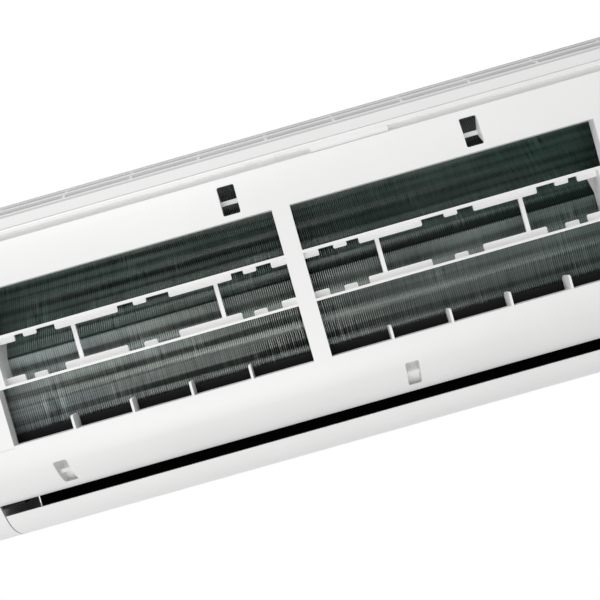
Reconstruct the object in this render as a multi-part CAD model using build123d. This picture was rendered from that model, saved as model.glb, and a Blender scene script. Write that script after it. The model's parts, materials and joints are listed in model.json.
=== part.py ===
from build123d import *
import math
import os

# Wall-mounted indoor unit of a split air conditioner, seen with its front panel off.
# X runs along the unit, to the right seen from the room. Y runs from the room to the
# wall, and Z is up. The origin is on the wall, behind the middle of the unit.
# In the side views, "depth" is measured backwards from the front frame's front plane
# and "height" from the unit's mid-height. All sizes are in millimetres.

# ---- casing ------------------------------------------------------------------------
unit_width = 800.0
unit_height = 294.0
front_depth = 186.0          # wall to the front frame's front plane
case_wall = 2.5
case_wall_gap = 3.0          # the casing's back edge stands off the wall
seat_gap = 0.3               # between pieces that rest against each other

crown_depth = 80.0           # where the curved top turns flat
crown_bulge = 2.0
grille_front_depth = 42.0
grille_front_drop = 17.0     # drops are measured down from the top of the unit
crease_depth = 15.0
crease_drop = 32.0
lip_overhang = 4.0           # how far the bead under the crease stands out of its recess
lip_height = 4.2
recess_drop = 40.8
crease_groove_depth = 3.0    # the thin line between the bead and the bevel above it
crease_groove_height = 1.3
face_top_depth = 6.0
face_top_drop = 42.0

outlet_lip_depth = 38.0
outlet_lip_rise = 36.5       # rises are measured up from the bottom of the unit
louver_front_depth = 42.0
louver_front_rise = 26.0
louver_flat_depth = 78.0
louver_back_depth = 118.0

# ---- the two windows of the front frame --------------------------------------------
window_top_drop = 78.0
window_bottom_rise = 88.0
window_margin = 3.0          # flat face left under the windows before it curves back
mullion_x = -65.5
mullion_width = 15.1
window_reach = 262.0         # from the mullion's middle to each window's outer end
flange_depth = 10.0
flange_wall = 2.0
end_bar_width = 7.0          # upright bar at each window's outer end, between the rails
deep_flange = 19.5           # the end bar's depth beside the lower coil and the upper one
tall_flange = 29.0

rail_depth = 9.5
upper_rail_height = 28.4
upper_rail_thickness = 2.5
lower_rail_height = -12.1
lower_rail_thickness = 2.0
tab_depth = 7.0              # the tabs and bars stand this far behind the front plane
tab_thickness = 2.0
upper_tab_length = 4.8
lower_tab_length = 5.6
small_tab_short = 1.5        # the small tabs are this much shorter than the long ones
small_tab_width = 11.2
small_tab_first = 38.5
small_tab_pitch = 94.0
small_tab_count = 3
long_tab_width = 53.6
long_tab_first = 81.0
long_tab_pitch = 97.4
long_tab_count = 2
mullion_tab_width = 12.8
end_tab_width = 22.4
tab_corner = 1.2
bar_offsets = (68.7, 190.5)  # upright bars, from the mullion's middle
bar_width = 3.5

peg_first = 59.5
peg_pitch = 50.2
peg_count = 4
peg_height = 11.6
peg_depth = 15.5
peg_thickness = 2.0
peg_corner = 3.0

# ---- clip slots for the front panel -------------------------------------------------
clip_bar_thickness = 2.0
clip_cheek = 1.5
clip_slot_corner = 1.5
upper_clip_x = (-104.5, 100.0)
upper_clip_width = 14.4
upper_clip_top_drop = 48.5
upper_clip_height = 24.5
upper_clip_bar_rise = 9.6     # from the slot's lower edge
upper_clip_bar_height = 3.8
upper_clip_recess = 14.0
lower_clip_x = (-297.0, 3.5, 304.0)
lower_clip_width = 11.5
lower_clip_bottom_rise = 45.0
lower_clip_height = 21.0
lower_clip_bar_rise = 8.8
lower_clip_bar_height = 3.4
lower_clip_back_depth = 26.0
lower_clip_bar_depth = 16.5
pocket_wall = 1.2

sill_line_depth = 0.5        # the line that carries on beside the windows at sill height
sill_line_height = 0.8
sill_line_drop = 1.2
end_notch_width = 8.0
end_notch_height = 6.0
end_notch_margin = 34.0      # from the unit's end to the notch

lip_block_x = 4.0
lip_block_width = 66.0
lip_slit_offset = 12.0
lip_slit_width = 10.5
lip_slit_height = 1.2

# ---- top grille ---------------------------------------------------------------------
grille_end_margin = 30.0
grille_back_margin = 11.0
grille_slot = 8.0
grille_bar = 3.0
grille_border = 5.0
grille_rib = 2.4
grille_rib_count = 11
grille_rib_sink = 1.2
grille_rib_height = 6.0
grille_ledge = 4.0

# ---- heat exchanger -----------------------------------------------------------------
coil_front_depth = 21.0
coil_thickness = 26.0
coil_bottom_rise = 81.0
coil_fold_height = 11.5
coil_front_lean = 32.3       # degrees that the upper front block leans back
coil_rear_lean = 39.5        # degrees that the rear block leans forward
coil_apex_depth = 90.0
coil_rear_length = 90.0
coil_gap = 2.0               # between neighbouring blocks
coil_end_margin = 42.0       # from the unit's left end
coil_right = 222.0
fin_groove_count = 60
fin_groove_depth = 2.0
end_plate = 1.2
tube_radius = 3.5
tube_pitch = 21.0
tube_first = 12.0
rear_tube_first = 20.0
lower_tube_margin = 7.0
lower_tube_count = 3
tube_row_inset = 6.5
tube_hole_clearance = 0.1
tube_end = 3.0
bend_reach = 12.0
bend_radius = 8.0

# ---- refrigerant pipes --------------------------------------------------------------
gas_radius = 4.76
liquid_radius = 3.175
pipe_bend = 12.0
gas_run_x = 285.0
gas_run_gap = 17.0           # from the pipe's middle to the chassis's back wall
gas_run_rise = 35.0
liquid_run_x = 248.5
liquid_run_gap = 7.5
liquid_run_rise = 16.0
liquid_over_fan = 64.0       # height over the fan's axis where the pipe crosses the motor
gas_end_x = 150.0
liquid_end_x = 120.0
gas_thread_radius = 7.94
liquid_thread_radius = 5.56
thread_length = 14.0
union_hex_length = 12.0
clamp_x = 198.0
clamp_width = 10.0
clamp_margin = 5.0

# ---- fan and motor ------------------------------------------------------------------
fan_depth = 100.0
fan_rise = 119.0
fan_radius = 45.0
fan_end_margin = 57.0
fan_right = 190.0
blade_count = 35
blade_chord = 9.0
blade_twist = 12.0
blade_bulge = 1.2
blade_thickness = 1.1
fan_ring_count = 7
fan_ring_thickness = 1.5
hub_radius = 12.0
hub_length = 14.0
motor_shaft_radius = 4.0
stub_shaft_radius = 3.0
stub_shaft_length = 15.0
running_clearance = 0.05
bush_radius = 6.0
bush_length = 6.0
bearing_radius = 15.0
bearing_length = 7.0
bearing_housing_wall = 3.2

motor_left = 216.0
motor_length = 46.0
motor_radius = 42.0
motor_boss_radius = 14.0
motor_boss_length = 8.0
cushion_radius = 24.0
cushion_length = 7.0
saddle_thickness = 6.0
saddle_half_height = 40.0
strap_depth = 5.0
bracket_screw_radius = 2.0
bracket_screw_offset = 34.0

# ---- outlet -------------------------------------------------------------------------
duct_end_margin = 50.5
duct_right = 195.0
duct_wall = 2.5
scroll_gap = 11.5
scroll_top_depth = 151.0
scroll_top_gap = 5.5         # under the gutter
scroll_bend_depth = 146.0
scroll_bend_rise = 72.0
scroll_end_depth = 121.0
pan_front_depth = 17.0
pan_back_depth = 52.0
pan_wall = 2.0
pan_floor = 2.5
pan_floor_rise = 70.5
pan_front_height = 24.0
pan_back_height = 30.5
pan_end_height = 18.5
pan_end_margin = 13.0
pan_right = 251.0
tongue_depth = 68.5
tongue_rise = 80.5
duct_front_rise = 74.5
duct_front_depth = 65.0
duct_lip_depth = 47.5
duct_lip_rise = 37.5
duct_front_wall = 3.0
spigot_radius = 8.0
spigot_bore = 6.0
spigot_length = 14.0
spigot_rise = 81.0
spigot_end_margin = 30.0
spigot_right_x = 241.0
plug_head_radius = 9.0
plug_head_length = 3.0
plug_length = 10.0

trough_drop = 6.0            # under the rear coil's lowest corner
trough_front_gap = 4.0
trough_back_gap = 14.75
trough_rim_rise = 8.0        # over the rear coil's outer corner
trough_lip = 1.5
trough_end_margin = 18.0
trough_right = 241.0

# ---- louver -------------------------------------------------------------------------
louver_pivot_depth = 96.0
louver_pivot_rise = 9.0
louver_wall = 2.2
louver_end_gap = 1.0
louver_pin_radius = 2.5
louver_boss_radius = 5.0
louver_rib = 2.5
cheek_width = 29.0
cheek_wall = 2.5
pin_length = 3.3
centre_support_x = -67.0
centre_support_thickness = 2.5
centre_rib_gap = 3.0
louver_motor_radius = 14.0
louver_motor_length = 18.0
louver_motor_offset = 8.6    # the shaft sits off the motor's middle

# ---- upright vanes ------------------------------------------------------------------
vane_count = 5
vane_pitch = 50.0
vane_thickness = 1.4
vane_top_rise = 69.0
vane_bottom_rise = 40.0
vane_pivot_rise = 65.0
vane_top_front_depth = 68.0
vane_foot_front_depth = 57.5
vane_foot_back_depth = 131.5
vane_back_height = 10.0
vane_pin_radius = 1.5
vane_boss_radius = 2.5
vane_boss_length = 8.0
vane_back_depth = 136.0
rail_gap = 1.0
vane_rail_depth = 4.0
vane_rail_height = 10.0
vane_rail_overhang = 12.0
link_rise = 48.0
link_front_depth = 56.0
link_thickness = 2.0
link_width = 5.0
link_pin_radius = 1.25
link_overhang = 6.0

# ---- chassis ------------------------------------------------------------------------
chassis_wall = 2.5
chassis_top_gap = 0.5
channel_rise = 49.0          # under this rise the back is open for the pipes
floor_rib_width = 14.0
chassis_end_margin = 4.5

# ---- wall plate ---------------------------------------------------------------------
plate_width = 600.0
plate_bottom_rise = 37.0
plate_top_drop = 22.0
plate_thickness = 1.2
plate_hole_radius = 2.6
outer_hole_spacing = 560.0
inner_hole_spacing = 260.0
plate_hole_margin = 17.5
plate_window_width = 150.0
plate_window_height = 110.0
plate_window_x = 140.0
hook_x = 225.0
hook_width = 30.0
hook_reach = 7.0
hook_drop = 35.0
hook_lip = 9.0
hook_clearance = 1.5
catch_reach = 5.0

# ---- electrics ----------------------------------------------------------------------
box_left = 255.0
box_front_depth = 14.0
box_back_depth = 48.0
box_bottom_rise = 72.0
box_top_drop = 52.0
box_wall = 2.0
cover_rise = 51.0            # cover's lower edge over the box's lower edge
cover_thickness = 1.6
cover_slot_start = 20.0
cover_slot_width = 6.0
cover_slot_height = 24.0
cover_slot_drop = 11.0
cover_slot_count = 8
board_thickness = 1.6
board_inset = 6.0
board_standoff = 2.4
board_rise = 61.0            # board's lower edge over the box's lower edge
capacitor_place = 24.0       # places on the board, from its left edge
capacitor_drop = 20.0
capacitor_radius = 9.0
capacitor_length = 22.0
relay_place = 46.0
relay_width = 20.0
relay_length = 15.0
relay_drop = 10.0
choke_place = 82.0
choke_width = 24.0
choke_length = 17.0
module_place = 12.0
module_width = 32.0
module_height = 26.0
module_length = 18.0
module_rise = 22.0
chip_place = 70.0
chip_width = 20.0
chip_length = 4.0
connector_place = 10.0
connector_pitch = 26.0
connector_width = 18.0
connector_height = 7.0
connector_length = 8.0
connector_rise = 5.0
connector_count = 4
terminal_width = 80.0
terminal_height = 20.0
terminal_depth = 20.0
terminal_rise = 13.0
terminal_count = 5
terminal_screw_radius = 2.6
wire_clamp_width = 70.0
wire_clamp_height = 7.0
wire_clamp_depth = 8.0
wire_clamp_rise = 2.0

access_left = 252.0
access_right = 372.0
access_rise = 93.0
access_height = 44.0
access_thickness = 1.8
access_ledge = 4.0
access_screw_radius = 1.8
access_screw_head = 3.6
display_left = 244.0
display_width = 80.0
display_bottom = 32.0
display_height = 18.0
display_margin = 4.0
display_housing_depth = 8.5
window_plate = 2.2
button_x = 338.0
button_radius = 4.0
button_flange_radius = 5.6
button_proud = 1.0
button_travel = 1.2
button_stem_radius = 2.5
pipe_way_height = 48.0       # at the rear bottom corner of both end walls
pipe_way_depth = 46.0
pipe_way_rise = 4.0
hose_way_radius = 14.0       # around the drain hose where it passes the chassis's back wall

# ---- places worked out from the sizes above ------------------------------------------
half_width = unit_width / 2
coil_left = -half_width + coil_end_margin
fan_left = -half_width + fan_end_margin
duct_left = -half_width + duct_end_margin
pan_left = -half_width + pan_end_margin
spigot_left_x = -half_width + spigot_end_margin
trough_left = -half_width + trough_end_margin
chassis_side_x = half_width - chassis_end_margin
grille_half_length = half_width - grille_end_margin
top = unit_height / 2
bottom = -top
case_back = front_depth - case_wall_gap
lip_floor = bottom + outlet_lip_rise
window_top = top - window_top_drop
window_bottom = bottom + window_bottom_rise
upper_clip_top = top - upper_clip_top_drop
upper_clip_bottom = upper_clip_top - upper_clip_height
upper_clip_bar_bottom = upper_clip_bottom + upper_clip_bar_rise
lower_clip_bottom = bottom + lower_clip_bottom_rise
lower_clip_top = lower_clip_bottom + lower_clip_height
lower_clip_bar_bottom = lower_clip_bottom + lower_clip_bar_rise
grille_back_depth = case_back - grille_back_margin
chassis_back_depth = front_depth - plate_thickness - seat_gap
inner_back = chassis_back_depth - chassis_wall
channel_height = bottom + channel_rise
coil_bottom = bottom + coil_bottom_rise
fan_height = bottom + fan_rise
gas_run_depth = inner_back - gas_run_gap
gas_run_height = bottom + gas_run_rise
liquid_run_depth = inner_back - liquid_run_gap
liquid_run_height = bottom + liquid_run_rise
liquid_cross_height = fan_height + liquid_over_fan
scroll_bend_height = bottom + scroll_bend_rise
pan_floor_height = bottom + pan_floor_rise
pan_front_top = pan_floor_height + pan_front_height
pan_back_top = pan_floor_height + pan_back_height
pan_end_top = pan_floor_height + pan_end_height
tongue_height = bottom + tongue_rise
duct_front_top = bottom + duct_front_rise
duct_lip_height = bottom + duct_lip_rise
spigot_height = bottom + spigot_rise
louver_pivot_height = bottom + louver_pivot_rise
vane_top = bottom + vane_top_rise
vane_bottom = bottom + vane_bottom_rise
vane_pivot_height = bottom + vane_pivot_rise
link_height = bottom + link_rise
plate_bottom = bottom + plate_bottom_rise
plate_top = top - plate_top_drop
hook_height = top - hook_drop
box_bottom = bottom + box_bottom_rise
box_top = top - box_top_drop
cover_bottom = box_bottom + cover_rise
board_bottom = box_bottom + board_rise
board_top = box_top - board_inset
terminal_bottom = box_bottom + terminal_rise
wire_clamp_bottom = box_bottom + wire_clamp_rise
access_bottom = bottom + access_rise
access_top = access_bottom + access_height
face_curve_start = window_bottom - window_margin
fan_y = fan_depth - front_depth
motor_right = motor_left + motor_length
box_right = chassis_side_x - chassis_wall - seat_gap
cheek_x = half_width - cheek_width
louver_half = cheek_x - louver_end_gap
vane_groups = {
    "left": (duct_left + centre_support_x - centre_support_thickness / 2) / 2,
    "right": (duct_right + centre_support_x + centre_support_thickness / 2) / 2,
}


# ---- drawing helpers -----------------------------------------------------------------
def side(depth, height):
    """A point of a side view."""
    return (depth - front_depth, height)


def side_polygon(*points):
    """A flat side view with straight edges."""
    return make_face(Polyline([side(*point) for point in points], close=True))


def side_circle(depth, height, radius):
    """A round side view."""
    return Pos(*side(depth, height)) * Circle(radius)


def along_x(profile, x_start, x_end):
    """Carry a side view along the unit, from one X to another."""
    return extrude(Plane.YZ.offset(x_start) * profile, amount=x_end - x_start)


def block(x_start, x_end, near, far, low, high):
    """A rectangular block between two X's, two depths and two heights."""
    middle = Pos((x_start + x_end) / 2, (near + far) / 2 - front_depth, (low + high) / 2)
    return middle * Box(x_end - x_start, far - near, high - low)


def rod_x(x_start, x_end, depth, height, radius):
    """A round bar that runs along the unit."""
    return along_x(side_circle(depth, height, radius), x_start, x_end)


def rod_y(x, height, near, far, radius):
    """A round bar that runs from front to back."""
    plane = Plane(origin=(x, near - front_depth, height), x_dir=(1, 0, 0), z_dir=(0, 1, 0))
    return extrude(plane * Circle(radius), amount=far - near)


def join(pieces):
    """Fuse pieces that overlap or touch into one."""
    return Part() + list(pieces)


def group(pieces):
    """Keep pieces apart in one node."""
    solids = [solid for piece in pieces for solid in piece.solids()]
    return Compound(children=solids)


def fitted_radius(length, radius):
    """The largest bend radius, up to the wanted one, that a leg of this length takes."""
    return min(radius, 0.49 * length)


# ---- casing outline --------------------------------------------------------------------
def case_outline():
    """Side view of the whole casing with its louver shut."""
    face_top = side(face_top_depth, top - face_top_drop)
    crease = side(crease_depth, top - crease_drop)
    recess_back = crease_depth - 2.0
    recess_top = side(recess_back, top - crease_drop - lip_height)
    recess_foot = side(recess_back - 1.0, top - recess_drop)
    grille_front = side(grille_front_depth, top - grille_front_drop)
    crown = side(crown_depth, top)
    face_end = side(0, window_top + 1.0)
    curve_start = side(0, face_curve_start)
    outlet_lip = side(outlet_lip_depth, lip_floor)
    louver_edge = side(louver_front_depth, bottom + louver_front_rise)
    louver_flat = side(louver_flat_depth, bottom)
    return make_face([
        Line(side(case_back, top), crown),
        SagittaArc(grille_front, crown, crown_bulge),
        Line(grille_front, crease),
        Line(crease, recess_top),
        Line(recess_top, recess_foot),
        Line(recess_foot, face_top),
        TangentArc([face_end, face_top], tangent=(0, 1)),
        Line(face_end, curve_start),
        TangentArc([curve_start, outlet_lip], tangent=(0, -1)),
        Line(outlet_lip, louver_edge),
        TangentArc([louver_flat, louver_edge], tangent=(-1, 0)),
        Line(louver_flat, side(case_back, bottom)),
        Line(side(case_back, bottom), side(case_back, top)),
    ])


def case_shell(outer_inset, inner_inset):
    """The casing's side view between two insets from its outline."""
    outer = case_outline()
    inner = offset(outer, amount=-inner_inset, kind=Kind.TANGENT)
    if outer_inset > 0:
        outer = offset(outer, amount=-outer_inset, kind=Kind.TANGENT)
    return outer - inner


def upper_face_depth(height):
    """Depth of the face above the windows, which leans back along an arc."""
    rise = top - face_top_drop - (window_top + 1.0)
    radius = (face_top_depth ** 2 + rise ** 2) / (2 * face_top_depth)
    climb = max(0.0, height - window_top - 1.0)
    return radius - math.sqrt(radius ** 2 - climb ** 2)


def lower_face_depth(height):
    """Depth of the face under the windows, which curves back to the outlet."""
    fall = face_curve_start - lip_floor
    radius = (outlet_lip_depth ** 2 + fall ** 2) / (2 * outlet_lip_depth)
    drop = max(0.0, face_curve_start - height)
    return radius - math.sqrt(radius ** 2 - drop ** 2)


# ---- front frame -----------------------------------------------------------------------
def window_columns():
    """The X range of each window: the left one, then the right one."""
    half = mullion_width / 2
    return [(mullion_x - window_reach, mullion_x - half), (mullion_x + half, mullion_x + window_reach)]


def frame_skin():
    """The moulded skin: top, front and lower face over the whole width, and both cheeks."""
    far = case_back + 1
    shell = case_shell(0, case_wall)
    back_zone = side_polygon(
        (case_back - case_wall, top - case_wall), (far, top - case_wall),
        (far, bottom + case_wall), (case_back - case_wall, bottom + case_wall))
    outlet_zone = side_polygon(
        (outlet_lip_depth, 0), (far, 0), (far, bottom - 1), (-1, bottom - 1),
        (-1, lip_floor), (outlet_lip_depth, lip_floor))
    cheek = shell - back_zone
    face = cheek - outlet_zone
    pieces = [along_x(face, -half_width, half_width)]
    for inner_x, outer_x in ((-cheek_x, -half_width), (cheek_x, half_width)):
        low, high = sorted((inner_x, outer_x))
        pieces.append(along_x(cheek, low, high))
    return pieces


def end_wall(x_start, x_end):
    """One closed end of the frame, the casing's whole side view."""
    return along_x(case_outline(), x_start, x_end)


def cheek_inner_wall(x_start, x_end):
    """The wall beside the louver's end."""
    zone = side_polygon(
        (20, lip_floor + 12), (scroll_end_depth, lip_floor + 12), (scroll_end_depth, bottom), (0, bottom))
    return along_x(case_outline() & zone, x_start, x_end)


def window_flange(x_start, x_end):
    """The rim that runs back from a window's edge."""
    outer = block(x_start - flange_wall, x_end + flange_wall, case_wall / 2, flange_depth,
                  window_bottom - flange_wall, window_top + flange_wall)
    inner = block(x_start, x_end, 0, flange_depth + 1, window_bottom, window_top)
    return outer - inner


def end_bar(x_start, x_end):
    """The deep upright bar at a window's outer end, which follows the coil behind it."""
    rail_top = upper_rail_height + upper_rail_thickness
    return along_x(side_polygon(
        (0, lower_rail_height), (0, rail_top), (tall_flange, rail_top), (tall_flange, upper_rail_height),
        (deep_flange, coil_fold_height), (deep_flange, lower_rail_height)), x_start, x_end)


def tab(middle, width, low, high):
    """A flat tab with rounded corners that stands behind the front plane."""
    plane = Plane(origin=(middle, tab_depth - front_depth, (low + high) / 2), x_dir=(1, 0, 0), z_dir=(0, 1, 0))
    return extrude(plane * RectangleRounded(width, high - low, tab_corner), amount=tab_thickness)


def tab_places():
    """Distance from the mullion's middle, width and shortening of every tab on one side."""
    places = [(mullion_width / 2 + mullion_tab_width / 2, mullion_tab_width, 0)]
    for index in range(small_tab_count):
        places.append((small_tab_first + index * small_tab_pitch, small_tab_width, small_tab_short))
    for index in range(long_tab_count):
        places.append((long_tab_first + index * long_tab_pitch, long_tab_width, 0))
    places.append((window_reach - end_tab_width / 2, end_tab_width, 0))
    return places


def middle_band(hand):
    """Rails, tabs and upright bars of one window: hand is -1 for the left, 1 for the right."""
    low_x, high_x = window_columns()[0 if hand < 0 else 1]
    lower_top = lower_rail_height + lower_rail_thickness
    upper_top = upper_rail_height + upper_rail_thickness
    pieces = [
        block(low_x, high_x, 0, rail_depth, upper_rail_height, upper_top),
        block(low_x, high_x, 0, rail_depth, lower_rail_height, lower_top),
    ]
    for distance, width, shortening in tab_places():
        middle = mullion_x + hand * distance
        pieces.append(tab(middle, width, upper_rail_height - upper_tab_length + shortening, upper_top))
        pieces.append(tab(middle, width, lower_rail_height, lower_top + lower_tab_length - shortening))
    for distance in bar_offsets:
        middle = mullion_x + hand * distance
        pieces.append(block(middle - bar_width / 2, middle + bar_width / 2,
                            tab_depth, tab_depth + tab_thickness, lower_top, upper_rail_height))
    pieces.append(end_bar(low_x, low_x + end_bar_width) if hand < 0 else end_bar(high_x - end_bar_width, high_x))
    return pieces


def peg_row(hand):
    """The upright pegs on one window's sill."""
    profile = side_polygon(
        (0, window_bottom - flange_wall), (peg_depth, window_bottom - flange_wall),
        (peg_depth, window_bottom + peg_height - peg_corner),
        (peg_depth - peg_corner, window_bottom + peg_height),
        (peg_corner / 2, window_bottom + peg_height), (0, window_bottom + peg_height - peg_corner / 2))
    pieces = []
    for index in range(peg_count):
        middle = mullion_x + hand * (peg_first + index * peg_pitch)
        pieces.append(along_x(profile, middle - peg_thickness / 2, middle + peg_thickness / 2))
    return pieces


def lip_bead():
    """The rounded bead that overhangs the recess under the crease."""
    height = top - crease_drop
    front = crease_depth - 2.0 - lip_overhang
    return along_x(side_polygon(
        (crease_depth, height), (front + 2.2, height - 0.1), (front + 0.6, height - 0.9),
        (front, height - 2.0), (front + 0.4, height - lip_height),
        (crease_depth - 1.5, height - lip_height)), -half_width, half_width)


def crease_line():
    """Cutter for the thin groove above the bead."""
    low = top - crease_drop
    return block(-half_width - 1, half_width + 1, crease_depth - 1, crease_depth + crease_groove_depth,
                 low, low + crease_groove_height)


def lip_block():
    """The short block that fills the recess near the middle of the unit."""
    front = crease_depth - 2.0 - lip_overhang
    low = top - face_top_drop + 1.0
    return block(lip_block_x - lip_block_width / 2, lip_block_x + lip_block_width / 2,
                 front + 0.6, crease_depth, low, top - crease_drop - 1.0)


def lip_slits():
    """Cutters for the two thin slits in the bead's lower edge."""
    front = crease_depth - 2.0 - lip_overhang
    low = top - crease_drop - lip_height
    cutters = []
    for hand in (-1, 1):
        middle = mullion_x + hand * lip_slit_offset
        cutters.append(block(middle - lip_slit_width / 2, middle + lip_slit_width / 2,
                             front - 1, front + 3, low - 0.2, low + lip_slit_height - 0.2))
    return cutters


def sill_lines():
    """Cutters for the line beside each window at sill height and the notch it ends in."""
    high = window_bottom - sill_line_drop
    cutters = []
    for hand, window_end in ((-1, window_columns()[0][0]), (1, window_columns()[1][1])):
        line_end = hand * (half_width - end_notch_margin)
        near, far = sorted((window_end, line_end))
        cutters.append(block(near, far, -1, sill_line_depth, high - sill_line_height, high))
        near, far = sorted((line_end, line_end + hand * end_notch_width))
        cutters.append(block(near, far, -1, case_wall + 1, high - end_notch_height, high))
    return cutters


def clip_slot_cutter(middle, width, low, high):
    """Opens a clip slot in the frame's skin."""
    deepest = max(lower_face_depth(low), upper_face_depth(high)) + case_wall + 2.0
    plane = Plane(origin=(middle, -1 - front_depth, (low + high) / 2), x_dir=(1, 0, 0), z_dir=(0, 1, 0))
    return extrude(plane * RectangleRounded(width, high - low, clip_slot_corner), amount=deepest + 1)


def upper_clip(middle):
    """A recessed bar between two V-shaped cheeks, open at the back."""
    half = upper_clip_width / 2
    bar_top = upper_clip_bar_bottom + upper_clip_bar_height
    start = case_wall / 2
    cheek = side_polygon(
        (upper_face_depth(upper_clip_bottom) + start, upper_clip_bottom),
        (upper_face_depth(upper_clip_top) + start, upper_clip_top),
        (upper_clip_recess, bar_top), (upper_clip_recess, upper_clip_bar_bottom))
    bar = block(middle - half - clip_cheek, middle + half + clip_cheek,
                upper_clip_recess - clip_bar_thickness, upper_clip_recess, upper_clip_bar_bottom, bar_top)
    left = along_x(cheek, middle - half - clip_cheek, middle - half)
    right = along_x(cheek, middle + half, middle + half + clip_cheek)
    return [left, right, bar]


def lower_clip(middle):
    """A closed pocket behind the lower face with a bar across it."""
    half = lower_clip_width / 2
    start = case_wall / 2
    wall = pocket_wall
    back = lower_clip_back_depth
    outer = side_polygon(
        (lower_face_depth(lower_clip_bottom - wall) + start, lower_clip_bottom - wall),
        (lower_face_depth(lower_clip_top) + start, lower_clip_top + wall),
        (back + wall, lower_clip_top + wall), (back + wall, lower_clip_bottom - wall))
    inner = side_polygon(
        (-1, lower_clip_bottom), (-1, lower_clip_top), (back, lower_clip_top), (back, lower_clip_bottom))
    pocket = along_x(outer, middle - half - wall, middle + half + wall)
    pocket -= along_x(inner, middle - half, middle + half)
    bar = block(middle - half - wall / 2, middle + half + wall / 2, lower_clip_bar_depth,
                lower_clip_bar_depth + clip_bar_thickness,
                lower_clip_bar_bottom, lower_clip_bar_bottom + lower_clip_bar_height)
    return [pocket, bar]


def grille_ledges():
    """Ledges at both ends of the top opening that carry the grille."""
    zone = side_polygon(
        (grille_front_depth + 2, top + 1), (grille_back_depth, top + 1), (grille_back_depth, 0),
        (grille_front_depth + 2, 0))
    shelf = case_shell(case_wall + seat_gap, case_wall + seat_gap + case_wall) & zone
    root = case_shell(case_wall / 2, case_wall + seat_gap + case_wall) & zone
    pieces = []
    for hand in (-1, 1):
        inner, edge, outer = (hand * (grille_half_length - grille_ledge), hand * grille_half_length,
                              hand * (grille_half_length + case_wall))
        pieces.append(along_x(shelf, min(inner, edge), max(inner, edge)))
        pieces.append(along_x(root, min(edge, outer), max(edge, outer)))
    return pieces


def access_seat():
    """Ledge around the wiring cover's opening, with the boss for its screw."""
    near = access_thickness + seat_gap
    outer = block(access_left - access_ledge / 2, access_right + access_ledge / 2, near, near + case_wall,
                  access_bottom - access_ledge / 2, access_top + access_ledge / 2)
    inner = block(access_left + access_ledge, access_right - access_ledge, 0, near + case_wall + 1,
                  access_bottom + access_ledge, access_top - access_ledge)
    screw_x, screw_height = access_screw_place()
    boss = block(access_left, screw_x + access_screw_head, near, near + case_wall,
                 screw_height - access_screw_head, screw_height + access_screw_head)
    return [outer - inner, boss]


def access_screw_place():
    """Where the wiring cover's screw sits."""
    return access_left + 9.0, (access_bottom + access_top) / 2


def pipe_way(hand, clearance):
    """The notch for the pipes at the rear bottom corner of an end wall, open towards the wall."""
    low = bottom + pipe_way_rise
    x_start, x_end = sorted((hand * (half_width - case_wall - 1), hand * (half_width + 1)))
    return block(x_start, x_end, case_back - pipe_way_depth + clearance, case_back + 1,
                 low + clearance, low + pipe_way_height - clearance)


def front_frame():
    """The white front frame, one moulding."""
    pieces = frame_skin()
    for hand in (-1, 1):
        outer, inner = hand * half_width, hand * (half_width - case_wall)
        pieces.append(end_wall(min(outer, inner), max(outer, inner)))
        near, far = hand * cheek_x, hand * (cheek_x + cheek_wall)
        pieces.append(cheek_inner_wall(min(near, far), max(near, far)))
    pieces.append(lip_bead())
    pieces.append(lip_block())
    frame = join(pieces)

    cutters = lip_slits() + sill_lines() + [crease_line()]
    for low_x, high_x in window_columns():
        cutters.append(block(low_x, high_x, -1, case_wall + 1, window_bottom, window_top))
    for middle in upper_clip_x:
        cutters.append(clip_slot_cutter(middle, upper_clip_width, upper_clip_bottom, upper_clip_top))
    for middle in lower_clip_x:
        cutters.append(clip_slot_cutter(middle, lower_clip_width, lower_clip_bottom, lower_clip_top))
    cutters.append(block(-grille_half_length, grille_half_length, grille_front_depth + 2,
                         grille_back_depth, top - grille_front_drop - 8, top + 1))
    cutters.append(block(access_left, access_right, -1, access_thickness + seat_gap, access_bottom, access_top))
    cutters.append(block(display_left, display_left + display_width, -1, case_wall + 1,
                         display_bottom, display_bottom + display_height))
    cutters.append(rod_y(button_x, button_height(), -1, case_wall + 1, button_radius + 0.3))
    for hand in (-1, 1):
        cutters.append(pipe_way(hand, 0))
        cutters.append(rod_x(min(hand * (cheek_x - 1), hand * (cheek_x + cheek_wall + 1)),
                             max(hand * (cheek_x - 1), hand * (cheek_x + cheek_wall + 1)),
                             louver_pivot_depth, louver_pivot_height, cheek_hole_radius(hand)))
    frame -= cutters

    additions = []
    for hand, (low_x, high_x) in zip((-1, 1), window_columns()):
        additions.append(window_flange(low_x, high_x))
        additions += peg_row(hand)
    additions += grille_ledges()
    frame = join([frame] + additions + access_seat())
    screw_x, screw_height = access_screw_place()
    return frame - rod_y(screw_x, screw_height, 0, case_wall * 3, access_screw_radius)


def filter_rails():
    """The rails, tabs and upright bars across the windows, which carry the air filters."""
    return group([join(middle_band(hand)) for hand in (-1, 1)])


def skin_around(middle, width, low, high):
    """The frame's skin near a clip slot, with the slot open."""
    reach = width / 2 + 3 * clip_cheek
    skin = along_x(case_shell(0, case_wall), middle - reach, middle + reach)
    return skin - clip_slot_cutter(middle, width, low, high)


def panel_clips():
    """The pockets with crossbars behind the clip slots, which take the front panel's hooks."""
    clips = []
    for middle in upper_clip_x:
        skin = skin_around(middle, upper_clip_width, upper_clip_bottom, upper_clip_top)
        clips.append(join(upper_clip(middle)) - skin)
    for middle in lower_clip_x:
        skin = skin_around(middle, lower_clip_width, lower_clip_bottom, lower_clip_top)
        clips.append(join(lower_clip(middle)) - skin)
    return group(clips)


def cheek_hole_radius(hand):
    """The left cheek is the pin's bearing, the right one only lets the motor's shaft through."""
    if hand < 0:
        return louver_pin_radius + running_clearance
    return louver_pin_radius + 0.8


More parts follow.
